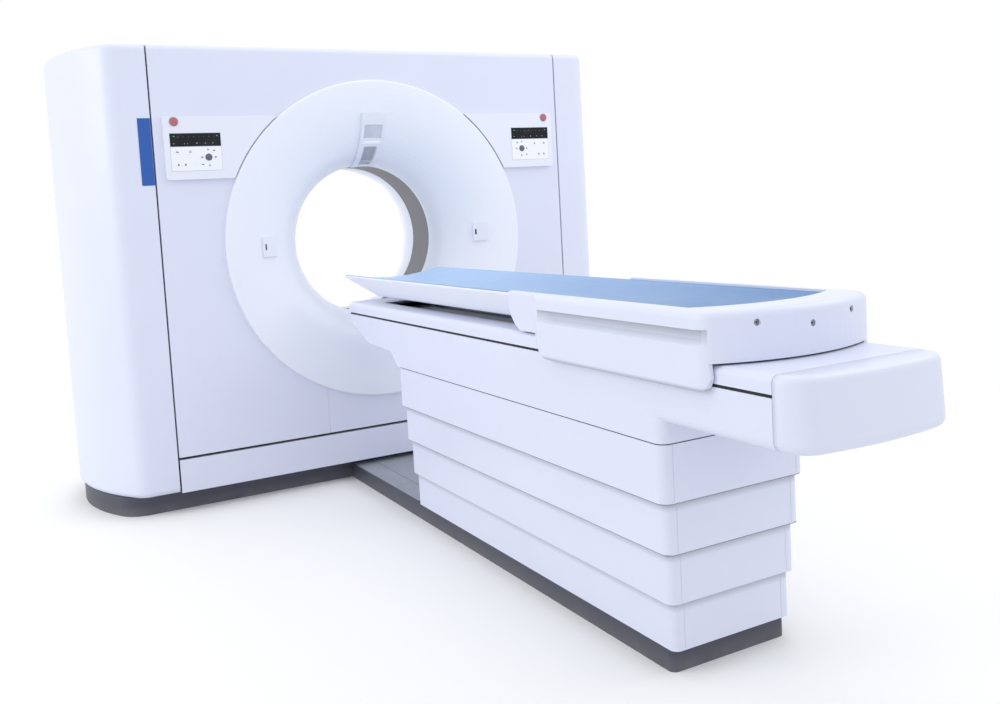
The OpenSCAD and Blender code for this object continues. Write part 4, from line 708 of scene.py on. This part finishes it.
class SCANNER_OT_controls(bpy.types.Operator):
    """Control plates with displays, membrane keypads and stop buttons"""
    bl_idname = "scanner.controls"
    bl_label = "Controls"

    def symbols(self, shape, face):
        """Small faint figures of a display: a lower row and one mark at the upper right."""
        width = DISPLAY_HIGH.x - DISPLAY_LOW.x
        for share, height, half in ((0.07, 0.012, 0.0022), (0.28, 0.011, 0.0012), (0.34, 0.011, 0.0012),
                                    (0.52, 0.012, 0.0030), (0.69, 0.012, 0.0022), (0.84, 0.012, 0.0022),
                                    (0.93, 0.042, 0.0026)):
            x, z = DISPLAY_LOW.x + share * width, DISPLAY_LOW.z + height
            add_block(shape, (x - half, face - 0.0003, z - 0.0013), (x + half, face, z + 0.0013), 0.0002)
            if half > 0.0024:
                add_block(shape, (x - 0.0014, face - 0.0003, z + 0.0024), (x + 0.0014, face, z + 0.0034), 0.0002)

    def faint_row(self, shape, face):
        """Row of dim figures along the top of a display."""
        width = DISPLAY_HIGH.x - DISPLAY_LOW.x
        for i, share in enumerate((0.16, 0.26, 0.36, 0.47, 0.57, 0.67, 0.77, 0.87)):
            x, z = DISPLAY_LOW.x + share * width, DISPLAY_HIGH.z - 0.015
            half = 0.0030 if i % 3 == 0 else 0.0018
            add_block(shape, (x - half, face - 0.0002, z - 0.0030), (x + half, face, z + 0.0030), 0.0002)

    def status(self, shape, face):
        """Green status mark at the upper left of a display."""
        x, z = DISPLAY_LOW.x + 0.016, DISPLAY_HIGH.z - 0.012
        add_block(shape, (x - 0.004, face - 0.0003, z - 0.0011), (x + 0.004, face, z + 0.0011), 0.0002)

    def arrow(self, shape, x, z, face, angle, size=0.0058):
        """Flat triangle on a keypad, turned by an angle."""
        made = bmesh.ops.create_cone(shape, cap_ends=True, segments=3, radius1=size, radius2=size,
                                     depth=0.0004)["verts"]
        matrix = (Matrix.Translation((x, face, z)) @ Matrix.Rotation(math.radians(-angle), 4, "Y")
                  @ Matrix.Rotation(math.pi / 2, 4, "X"))
        bmesh.ops.transform(shape, matrix=matrix, verts=made)

    def keys(self, shape, raised):
        """Figures of a keypad, placed by their distance from its outer edge and its top."""
        outer, top, flat = KEYPAD_HIGH.x, KEYPAD_HIGH.z, raised + 0.001
        for across, angle in ((0.127, 0), (0.184, 180)):
            self.arrow(shape, outer - across, top - 0.045, flat, angle)
        self.arrow(shape, outer - 0.154, top - 0.013, flat, 90, 0.0052)
        self.arrow(shape, outer - 0.157, top - 0.079, flat, 270, 0.0052)
        for across, below in ((0.179, 0.017), (0.129, 0.075)):
            x, z = outer - across, top - below
            add_block(shape, (x - 0.005, flat - 0.0002, z - 0.0022),
                      (x + 0.005, flat + 0.0002, z + 0.0022), 0.0008)
        for across, below, half in ((0.026, 0.022, 0.006), (0.080, 0.022, 0.005)):
            x, z = outer - across, top - below
            add_block(shape, (x - half, raised - 0.0002, z - 0.0018),
                      (x + half, raised + 0.0002, z + 0.0018), 0.0008)
            self.arrow(shape, x, z + 0.0048, raised, 90, 0.0028)
        for across, below in ((0.028, 0.075), (0.057, 0.075)):
            add_disc(shape, (outer - across, raised, top - below), 0.0040, 0.0004, steps=24)
            add_block(shape, (outer - across - 0.0012, raised - 0.0002, top - below + 0.002),
                      (outer - across + 0.0012, raised + 0.0002, top - below + 0.0068), 0.0006)

    def both(self, name, build, material, slot, smooth=True, turned=False):
        """Same piece on both plates: its mirror image, or its copy with the order kept."""
        shape = bmesh.new()
        build(shape)
        if turned:
            mirrored(shape)
        else:
            geometry = shape.verts[:] + shape.edges[:] + shape.faces[:]
            copied = bmesh.ops.duplicate(shape, geom=geometry)["geom"]
            bmesh.ops.translate(shape, vec=(-(DISPLAY_LOW.x + DISPLAY_HIGH.x), 0, 0), verts=verts_of(copied))
        keep(name, shape, material, "base", smooth)

    def execute(self, context):
        colours = context.scene.scanner_colours
        dress(["left_control_plate", "right_control_plate"], plate_finish(colours))
        dress(["left_display", "right_display"], finish(
            "display_glass", "polymer", (0.010, 0.012, 0.016), 0.16, relief=0.02, Specular_IOR_Level=0.2))
        dress(["left_keypad", "right_keypad"], finish(
            "membrane", "moulded", (0.93, 0.945, 1.0), 0.32, relief=0.06, extra={"Drift": 0.006}))
        dress(["left_stop_button", "right_stop_button"], finish(
            "stop_cap", "moulded", colours.stop, 0.34, relief=0.1, Coat_Weight=0.3))
        dress(["label_strip"], finish(
            "label_film", "moulded", colours.label, 0.3, relief=0.06, extra={"Drift": 0.02}))

        glyph_face, key_face = DISPLAY_LOW.y - 0.0002, KEYPAD_LOW.y - 0.0001
        self.both("display_figures", lambda s: self.symbols(s, glyph_face),
                  lit_glass("figure_light", (0.34, 0.37, 0.42), 0.25), "display_black", False)
        self.both("display_dim_row", lambda s: self.faint_row(s, glyph_face),
                  lit_glass("dim_light", (0.035, 0.045, 0.055), 0.05), "display_black", False)
        self.both("display_status", lambda s: self.status(s, glyph_face),
                  lit_glass("status_light", (0.10, 0.42, 0.20), 0.4), "display_black", False)
        self.both("key_symbols", lambda s: self.keys(s, key_face), finish(
            "key_ink", "polymer", (0.16, 0.18, 0.24), 0.45, relief=0.05), "display_black", turned=True)

        def dial(shape):
            at = Vector((KEYPAD_HIGH.x - 0.155, key_face, KEYPAD_HIGH.z - 0.045))
            add_disc(shape, at, 0.0150, 0.0012, round_by=0.0004)
            add_disc(shape, at - Vector((0, 0.0009, 0)), 0.0085, 0.0012, round_by=0.0004)
        self.both("key_dials", dial, finish(
            "dial_ink", "polymer", (0.12, 0.13, 0.18), 0.4, relief=0.05), "display_black", turned=True)

        bezels, wide = bmesh.new(), 0.0012
        for low, high in ((DISPLAY_LOW, DISPLAY_HIGH), (KEYPAD_LOW, KEYPAD_HIGH)):
            x0, x1, z0, z1 = low.x - wide, high.x + wide, low.z - wide, high.z + wide
            for a, b in (((x0, z0), (x1, z0 + wide)), ((x0, z1 - wide), (x1, z1)),
                         ((x0, z0), (x0 + wide, z1)), ((x1 - wide, z0), (x1, z1))):
                add_block(bezels, (a[0], PLATE_FACE - 0.0005, a[1]), (b[0], PLATE_FACE + 0.0002, b[1]))
        mirrored(bezels)
        keep("panel_bezels", bezels, finish("bezel_grey", "moulded", (0.5, 0.52, 0.6), 0.35, relief=0.08),
             "base", smooth=False)

        collars = bmesh.new()
        middle = (BUTTON_LOW + BUTTON_HIGH) / 2
        ring = bmesh.ops.create_circle(collars, cap_ends=False, segments=40, radius=0.0205)["verts"]
        loop = list({e for v in ring for e in v.link_edges})
        for radius, rise in ((0.0200, 0.0018), (0.0180, 0.0022), (0.0174, 0.0002)):
            new = bmesh.ops.extrude_edge_only(collars, edges=loop)["geom"]
            for v in verts_of(new):
                v.co = Vector((v.co.x, v.co.y, 0)).normalized() * radius + Vector((0, 0, rise))
            loop = [g for g in new if isinstance(g, bmesh.types.BMEdge)]
        bmesh.ops.transform(collars, matrix=Matrix.Translation((middle.x, PLATE_FACE, middle.z))
                            @ Matrix.Rotation(math.pi / 2, 4, "X"), verts=collars.verts)
        mirrored(collars)
        bmesh.ops.recalc_face_normals(collars, faces=collars.faces)
        keep("stop_collars", collars, finish("collar_grey", "moulded", (0.62, 0.64, 0.72), 0.35, relief=0.08),
             "base")
        return {"FINISHED"}


class SCANNER_OT_plinths(bpy.types.Operator):
    """Dark textured plinths, and the strips over the cable channel"""
    bl_idname = "scanner.plinths"
    bl_label = "Plinths"

    def execute(self, context):
        colours = context.scene.scanner_colours
        dress(["gantry_plinth", "table_plinth"], finish(
            "plinth_texture", "base", colours.plinth, 0.46, relief=0.35, depth=0.0002,
            extra={"Dust height": 0.045, "Scuffs": 0.35}))
        dress(["channel_covers"], finish(
            "channel_brushed", "metal", (0.44, 0.455, 0.50), 0.42, relief=0.2, extra={"Lines": 1.0},
            Metallic=0.35))
        return {"FINISHED"}


class SCANNER_OT_skirts(bpy.types.Operator):
    """Telescopic skirts of the table, with strips of painted shadow under their lips and in the top seam, and the
    joint lines on their end faces
    """
    bl_idname = "scanner.skirts"
    bl_label = "Table skirts"

    def ring_strip(self, name, body, low, high, insets, radius, foot, top, material):
        """Strip that runs round a skirt, set in from its box across and along, between two heights."""
        steps = 12
        half, front, back = high.x - insets[0], high.y - insets[1], low.y + insets[1]
        outline = []
        for k, (x, y) in enumerate(((half, front), (-half, front), (-half, back), (half, back))):
            centre = (x - math.copysign(radius, x), y - radius if y == front else y + radius)
            for i in range(steps):
                angle = math.radians(90 * (k + i / (steps - 1)))
                outline.append((centre[0] + radius * math.cos(angle), centre[1] + radius * math.sin(angle)))
        shape = bmesh.new()
        ring = bmesh.ops.create_circle(shape, cap_ends=False, segments=len(outline), radius=1.0)["verts"]
        ring.sort(key=lambda v: math.atan2(v.co.y, v.co.x) % (2 * math.pi))
        for v, (x, y) in zip(ring, outline):
            v.co = (x, y, foot)
        wall = bmesh.ops.extrude_edge_only(shape, edges=shape.edges[:])["geom"]
        bmesh.ops.translate(shape, vec=(0, 0, top - foot), verts=verts_of(wall))
        bmesh.ops.recalc_face_normals(shape, faces=shape.faces)
        bmesh.ops.solidify(shape, geom=shape.faces[:], thickness=0.0012)
        keep(name, shape, material, body)

    def execute(self, context):
        colours = context.scene.scanner_colours
        dress(["tier_1"], cover_finish(colours))
        for name, above in (("tier_2", "tier_1"), ("tier_3", "tier_2"), ("tier_4", "tier_3")):
            dress([name], skirt_finish(colours, name + "_satin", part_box(above)[0].z))
        # Painted shadow: a grey strip under each lip, where the lip shades the skirt below
        shadow_strip_paint = finish("painted_lip_shadow", "polymer", (0.34, 0.35, 0.40), 0.85)
        joint = finish("joint_grey", "polymer", (0.58, 0.60, 0.68), 0.5, relief=0.1)
        inset, corner = 0.0025, 0.0265
        for name, body in (("tier_1", "couch"), ("tier_2", "skirt_2"), ("tier_3", "skirt_3"), ("tier_4", "base")):
            low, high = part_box(name)
            uppermost = name == "tier_1"
            # the lower skirts have a lip inside at their top, which their boxes take in
            lip_x, lip_y = (0.0, 0.0) if uppermost else (0.009, 0.0055)
            joint_x, end = high.x - lip_x - 0.034, low.y + lip_y
            top = high.z - (0.004 if uppermost else 0.012)
            shape = bmesh.new()
            for x in (-joint_x, joint_x):
                add_block(shape, (x - 0.0006, end - 0.0004, low.z + 0.004), (x + 0.0006, end + 0.001, top), 0.0002)
            if uppermost:
                # Painted shadow: a black ring in the seam between the couch and the top skirt
                self.ring_strip("neck_seam_shadow", body, low, high, (0.0026, 0.0026), 0.0274, high.z - 0.0029,
                                high.z - 0.0001, shadow_seal())
            if name != "tier_4":
                # the third strip of painted shadow is short, because its skirt comes down to the plinth
                foot = low.z - (0.0018 if name == "tier_3" else 0.0036)
                self.ring_strip(name + "_shadow_strip", body, low, high, (inset + lip_x, inset + lip_y), corner - lip_x,
                                foot, low.z + 0.0008, shadow_strip_paint)
            keep(name + "_joints", shape, joint, body, smooth=False)
        return {"FINISHED"}


class SCANNER_OT_couch(bpy.types.Operator):
    """Couch body, deck, the end cap with its leaning face, and the black groove"""
    bl_idname = "scanner.couch"
    bl_label = "Couch"

    def execute(self, context):
        colours = context.scene.scanner_colours
        dress(["couch_body", "couch_deck", "end_cap"], cover_finish(colours))
        low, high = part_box("end_cap")
        shape = bmesh.new()
        shape.from_mesh(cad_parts["end_cap"].data)
        bmesh.ops.remove_doubles(shape, verts=shape.verts, dist=1e-5)
        lean, seam = context.scene.scanner_sizes.cap_lean, high.y - 0.004
        for v in shape.verts:
            out = min(1.0, max(0.0, (seam - v.co.y) / (seam - low.y)))
            v.co.y += lean * out * (v.co.z - low.z) / (high.z - low.z)
        cap = keep("leaning_end_cap", shape, cover_finish(colours), "couch")
        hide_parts("end_cap")
        dress(["groove_strips"], shadow_seal())
        return {"FINISHED"}


class SCANNER_OT_carriage(bpy.types.Operator):
    """Carriage, the sunk screws on its end face, the tabletop, and the rails and runners below"""
    bl_idname = "scanner.carriage"
    bl_label = "Carriage"

    def execute(self, context):
        colours = context.scene.scanner_colours
        dress(["carriage"], carriage_finish(colours))
        for name, colour, gloss, shine, node in (
                ("screw_steel", (0.30, 0.31, 0.33), 0.3, 1.0, "carriage_screws"),
                ("ground_steel", (0.55, 0.56, 0.58), 0.25, 1.0, "table_rails"),
                ("runner_steel", (0.28, 0.30, 0.33), 0.35, 0.8, "rail_runners")):
            dress([node], finish(name, "metal", colour, gloss, relief=0.2, Metallic=shine))
        low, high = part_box("carriage_screws")
        head, outer = 0.008, 0.152
        # Painted shade: flat black hexagons on the screw heads stand in for their sockets
        sockets = bmesh.new()
        for x, y, z in ((-outer, high.y - 0.0009, high.z - head), (0.0, low.y + 0.0011, low.z + head),
                        (outer, high.y - 0.0009, high.z - head)):
            add_disc(sockets, (x, y, z), 0.0029, 0.0002, steps=6)
        keep("screw_sockets", sockets, shadow_seal(), "carriage_body", smooth=False)
        dress(["tabletop"], finish("tabletop_shell", "moulded", (0.88, 0.905, 0.99), 0.4, relief=0.14,
                                   extra={"Drift": 0.02}, Coat_Weight=0.2, Coat_Roughness=0.2))
        return {"FINISHED"}


class SCANNER_OT_mattress(bpy.types.Operator):
    """Blue mattress: a thin crowned pad with a welded seam near its edge"""
    bl_idname = "scanner.mattress"
    bl_label = "Mattress"

    def execute(self, context):
        sizes, colours = context.scene.scanner_sizes, context.scene.scanner_colours
        low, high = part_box("mattress")
        half = sizes.top_half_width - 0.0006
        rise = sizes.hollow_depth - sizes.pad_thickness + sizes.pad_edge
        top_radius = (half ** 2 + rise ** 2) / (2 * rise)
        under_radius = (half ** 2 + sizes.hollow_depth ** 2) / (2 * sizes.hollow_depth)
        rim = TOP_HIGH.z
        end_radius, end_centre = 0.45, low.y + 0.45

        def upper(x):
            return rim + sizes.pad_edge - rise + top_radius - math.sqrt(top_radius ** 2 - x * x)

        def under(x):
            return rim - sizes.hollow_depth + 0.0003 + under_radius - math.sqrt(under_radius ** 2 - x * x)

        def far_end(x):
            return end_centre - math.sqrt(end_radius ** 2 - x * x)

        seam, length = sizes.pad_seam, high.y - low.y
        groove = (seam - 0.003, seam, seam + 0.004)
        across = sorted({side * (half - d) for side in (-1, 1) for d in (0.0, 0.003, *groove)}
                        | {-0.2 + 0.02 * i for i in range(21)})
        near_end = [0.0, 0.0015] + [d / length for d in groove]
        along = sorted(set(near_end) | {1 - t for t in near_end} | {i / 90 for i in range(1, 90)})
        shape = bmesh.new()
        grid = bmesh.ops.create_grid(shape, x_segments=len(across) - 1, y_segments=len(along) - 1,
                                     size=0.5)["verts"]
        grid.sort(key=lambda v: (round(v.co.y, 6), round(v.co.x, 6)))
        for i, v in enumerate(grid):
            x, t = across[i % len(across)], along[i // len(across)]
            near, far = high.y, far_end(x)
            y = near + (far - near) * t
            edge = min(half - abs(x), near - y, y - far)
            sunk = 0.0011 * math.exp(-((edge - seam) / 0.0026) ** 2) + 0.0022 * max(0.0, 1 - edge / 0.006) ** 2
            soft = (0.0007 * noise.noise(Vector((x * 7, y * 3, 0.4)))
                    + 0.0003 * noise.noise(Vector((x * 24, y * 17, 2))))
            v.co = (x, y, upper(x) - sunk + (soft if edge > seam else 0.0))
        lower = bmesh.ops.extrude_face_region(shape, geom=shape.faces[:])["geom"]
        for v in verts_of(lower):
            v.co.z = under(v.co.x)
        bmesh.ops.recalc_face_normals(shape, faces=shape.faces)
        pad = keep("soft_mattress", shape, finish(
            "mattress_fabric", "weave", colours.mattress, 0.5, relief=0.35, depth=0.0002,
            extra={"Far colour": (*colours.mattress_far_sheen, 1.0), "Near end": low.y, "Far end": high.y},
            Sheen_Weight=0.15, Sheen_Roughness=0.5), "carriage_body", angle=70)
        rounding = pad.modifiers.new("Rounding", "SUBSURF")
        rounding.levels = rounding.render_levels = 1
        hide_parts("mattress")
        return {"FINISHED"}


class SCANNER_OT_rotor(bpy.types.Operator):
    """Finishes of the rotor, its units, the bearing and the drive"""
    bl_idname = "scanner.rotor"
    bl_label = "Rotor"

    def execute(self, context):
        for name, colour, gloss, relief, shine, nodes in (
                ("cast_aluminium", (0.56, 0.57, 0.59), 0.5, 0.3, 0.9, ["rotor_disc"]),
                ("cast_housing", (0.62, 0.63, 0.65), 0.45, 0.25, 0.7, ["xray_tube", "tube_cooler"]),
                ("detector_grey", (0.30, 0.32, 0.35), 0.42, 0.2, 0.6, ["detector"]),
                ("slip_brass", (0.72, 0.50, 0.20), 0.3, 0.2, 1.0, ["slip_ring"]),
                ("bearing_steel", (0.52, 0.53, 0.55), 0.28, 0.2, 1.0,
                 ["bearing_outer_ring", "bearing_inner_ring", "motor_shaft", "drive_pulley"])):
            dress(nodes, finish(name, "metal", colour, gloss, relief=relief, Metallic=shine))
        dress(["generator", "rotor_controller", "power_unit"], finish(
            "unit_enamel", "moulded", (0.32, 0.34, 0.38), 0.4, relief=0.2, extra={"Drift": 0.05}))
        dress(["collimator", "drive_motor"], finish(
            "unit_dark", "moulded", (0.11, 0.12, 0.14), 0.42, relief=0.2))
        dress(["brush_block"], finish("brush_block_black", "polymer", (0.03, 0.03, 0.034), 0.5))
        dress(["drive_belt"], finish("belt_rubber", "polymer", (0.02, 0.02, 0.022), 0.7))
        return {"FINISHED"}


class SCANNER_OT_structure(bpy.types.Operator):
    """Painted frames and the stages of the lifting columns"""
    bl_idname = "scanner.structure"
    bl_label = "Structure"

    def execute(self, context):
        dress(["gantry_frame", "column_outers"], finish(
            "frame_paint", "moulded", (0.36, 0.38, 0.42), 0.45, relief=0.3, extra={"Drift": 0.06}))
        # Painted light: the couch frame is paler than the gantry frame, so the shaded slot under the tabletop
        # reads grey
        dress(["couch_frame"], finish(
            "painted_light_frame_coat", "moulded", (0.70, 0.71, 0.76), 0.5, relief=0.3, extra={"Drift": 0.04}))
        dress(["column_middles", "column_inners"], finish(
            "column_aluminium", "metal", (0.58, 0.59, 0.61), 0.35, relief=0.25, Metallic=0.9))
        return {"FINISHED"}


class SCANNER_OT_stage(bpy.types.Operator):
    """Pale floor, soft lamps, even world light and the camera"""
    bl_idname = "scanner.stage"
    bl_label = "Studio"

    def floor_material(self, studio):
        """Floor that fades to white away from the scanner where it is seen, and throws back a softer light."""
        material = bpy.data.materials.new("studio_floor")
        material.use_nodes = True
        tree = material.node_tree
        tree.nodes.clear()
        out = add_node(tree, "ShaderNodeOutputMaterial", (900, 0))
        shader = add_node(tree, "ShaderNodeBsdfPrincipled", (300, 200))
        shader.inputs["Roughness"].default_value = 0.85
        shader.inputs["Specular IOR Level"].default_value = 0.1
        glow = add_node(tree, "ShaderNodeEmission", (300, -120), Strength=1.0)
        path = add_node(tree, "ShaderNodeLightPath", (-300, -300))
        place = add_node(tree, "ShaderNodeTexCoord", (-700, 200))
        centred = add_node(tree, "ShaderNodeMapping", (-520, 200))
        centred.inputs["Location"].default_value = (0.0, 0.8, 0.0)
        fade_from, fade_to = 1.8, 3.8
        length = add_node(tree, "ShaderNodeVectorMath", (-320, 200), operation="LENGTH")
        tree.links.new(place.outputs["Object"], centred.inputs["Vector"])
        tree.links.new(centred.outputs[0], length.inputs[0])
        far = ramp(tree, length.outputs["Value"], (-120, 200), fade_from, fade_to)
        seen = maths(tree, "ADD", path.outputs["Is Camera Ray"], path.outputs["Is Glossy Ray"], (-100, -300))
        seen = maths(tree, "MAXIMUM", seen, path.outputs["Is Transmission Ray"], (60, -300))
        share = maths(tree, "MULTIPLY", far, seen, (240, -300))
        mixed = add_node(tree, "ShaderNodeMixShader", (680, 0))
        thrown = mix_colours(tree, seen, studio.floor_bounce, studio.floor, (60, 420))
        tree.links.new(thrown, shader.inputs["Base Color"])
        tree.links.new(share, mixed.inputs[0])
        tree.links.new(shader.outputs[0], mixed.inputs[1])
        tree.links.new(glow.outputs[0], mixed.inputs[2])
        tree.links.new(mixed.outputs[0], out.inputs["Surface"])
        return material

    def world(self, scene, studio):
        """Even light from all sides; the camera, metal and glass see plain white."""
        world = bpy.data.worlds.new("studio_world")
        scene.world = world
        world.use_nodes = True
        tree = world.node_tree
        tree.nodes.clear()
        out = add_node(tree, "ShaderNodeOutputWorld", (500, 0))
        seen = add_node(tree, "ShaderNodeBackground", (0, 120))
        seen.inputs["Color"].default_value = (1, 1, 1, 1)
        seen.inputs["Strength"].default_value = 1.0
        light = add_node(tree, "ShaderNodeBackground", (0, -80))
        light.inputs["Color"].default_value = (0.94, 0.965, 1.0, 1)
        light.inputs["Strength"].default_value = studio.world_level
        path = add_node(tree, "ShaderNodeLightPath", (-500, 200))
        direct = maths(tree, "ADD", path.outputs["Is Camera Ray"], path.outputs["Is Glossy Ray"], (-320, 300))
        share = maths(tree, "MAXIMUM", direct, path.outputs["Is Transmission Ray"], (-160, 300))
        mixed = add_node(tree, "ShaderNodeMixShader", (260, 0))
        tree.links.new(share, mixed.inputs[0])
        tree.links.new(light.outputs[0], mixed.inputs[1])
        tree.links.new(seen.outputs[0], mixed.inputs[2])
        tree.links.new(mixed.outputs[0], out.inputs["Surface"])

    def lamp(self, scene, name, place, aim, size, power):
        """Round soft lamp at a place, turned to a point."""
        data = bpy.data.lights.new(name, "AREA")
        data.shape, data.size, data.energy = "DISK", size, power
        lamp = bpy.data.objects.new(name, data)
        scene.collection.objects.link(lamp)
        lamp.location = place
        lamp.rotation_euler = (Vector(aim) - Vector(place)).to_track_quat("-Z", "Y").to_euler()

    def camera(self, scene):
        """Camera solved from the photograph: place, turn, tilt and roll, and its offset picture centre."""
        yaw, pitch, roll = -0.4766, -0.0784, -0.0583
        right = Vector((math.cos(yaw), math.sin(yaw), 0))
        ahead = Vector((-math.sin(yaw) * math.cos(pitch), math.cos(yaw) * math.cos(pitch), math.sin(pitch)))
        up = right.cross(ahead)
        side = right * math.cos(roll) + up * math.sin(roll)
        rise = up * math.cos(roll) - right * math.sin(roll)
        data = bpy.data.cameras.new("photo_camera")
        data.sensor_fit, data.sensor_width, data.lens = "HORIZONTAL", 36.0, 34.57
        data.shift_x, data.shift_y = 0.0382, -0.0706
        data.clip_start, data.clip_end = 0.05, 200.0
        camera = bpy.data.objects.new("photo_camera", data)
        scene.collection.objects.link(camera)
        turned = Matrix((side, rise, -ahead)).transposed().to_4x4()
        camera.matrix_world = Matrix.Translation((-1.7259, -4.1249, 1.2342)) @ turned
        scene.camera = camera

    def execute(self, context):
        scene, studio = context.scene, context.scene.scanner_studio
        shape = bmesh.new()
        bmesh.ops.create_grid(shape, x_segments=1, y_segments=1, size=30.0)
        mesh = bpy.data.meshes.new("studio_floor")
        shape.to_mesh(mesh)
        shape.free()
        floor = bpy.data.objects.new("studio_floor", mesh)
        scene.collection.objects.link(floor)
        mesh.materials.append(self.floor_material(studio))
        self.world(scene, studio)
        self.lamp(scene, "key_lamp", (-6.0, 0.3, 3.2), (0, -0.8, 0.9), 3.4, studio.key_level)
        self.lamp(scene, "fill_lamp", (4.2, -2.9, 4.4), (0, 0, 0.9), 3.0, studio.fill_level)
        self.lamp(scene, "bore_lamp", (0, 3.0, 1.1), (0, 0, 1.1), 1.6, studio.bore_level)
        self.lamp(scene, "top_lamp", (0.2, -0.8, 4.6), (0, -0.8, 0), 3.2, studio.top_level)
        self.camera(scene)
        scene.view_settings.view_transform = "Standard"
        return {"FINISHED"}


class SCANNER_PT_parts(bpy.types.Panel):
    """Buttons for every group of pieces"""
    bl_idname = "SCANNER_PT_parts"
    bl_label = "Scanner"
    bl_space_type = "VIEW_3D"
    bl_region_type = "UI"
    bl_category = "Scanner"

    def draw(self, context):
        for operator in OPERATORS:
            self.layout.operator(operator.bl_idname)
        for group in ("scanner_sizes", "scanner_colours", "scanner_studio"):
            values = getattr(context.scene, group)
            box = self.layout.box()
            for key in values.bl_rna.properties.keys():
                if key not in ("rna_type", "name"):
                    box.prop(values, key)


OPERATORS = (SCANNER_OT_covers, SCANNER_OT_seals, SCANNER_OT_console, SCANNER_OT_position_lights,
             SCANNER_OT_controls, SCANNER_OT_plinths, SCANNER_OT_skirts, SCANNER_OT_couch,
             SCANNER_OT_carriage, SCANNER_OT_mattress, SCANNER_OT_rotor, SCANNER_OT_structure, SCANNER_OT_stage)
GROUPS_OF_VALUES = (("scanner_sizes", ScannerSizes), ("scanner_colours", ScannerColours),
                    ("scanner_studio", ScannerStudio))


def register():
    for name, group in GROUPS_OF_VALUES:
        bpy.utils.register_class(group)
        setattr(bpy.types.Scene, name, bpy.props.PointerProperty(type=group))
    for operator in OPERATORS:
        bpy.utils.register_class(operator)
    bpy.utils.register_class(SCANNER_PT_parts)


def unregister():
    bpy.utils.unregister_class(SCANNER_PT_parts)
    for operator in reversed(OPERATORS):
        bpy.utils.unregister_class(operator)
    for name, group in reversed(GROUPS_OF_VALUES):
        delattr(bpy.types.Scene, name)
        bpy.utils.unregister_class(group)


def main():
    register()
    for operator in OPERATORS:
        family, name = operator.bl_idname.split(".")
        getattr(getattr(bpy.ops, family), name)()


if __name__ == "__main__":
    main()
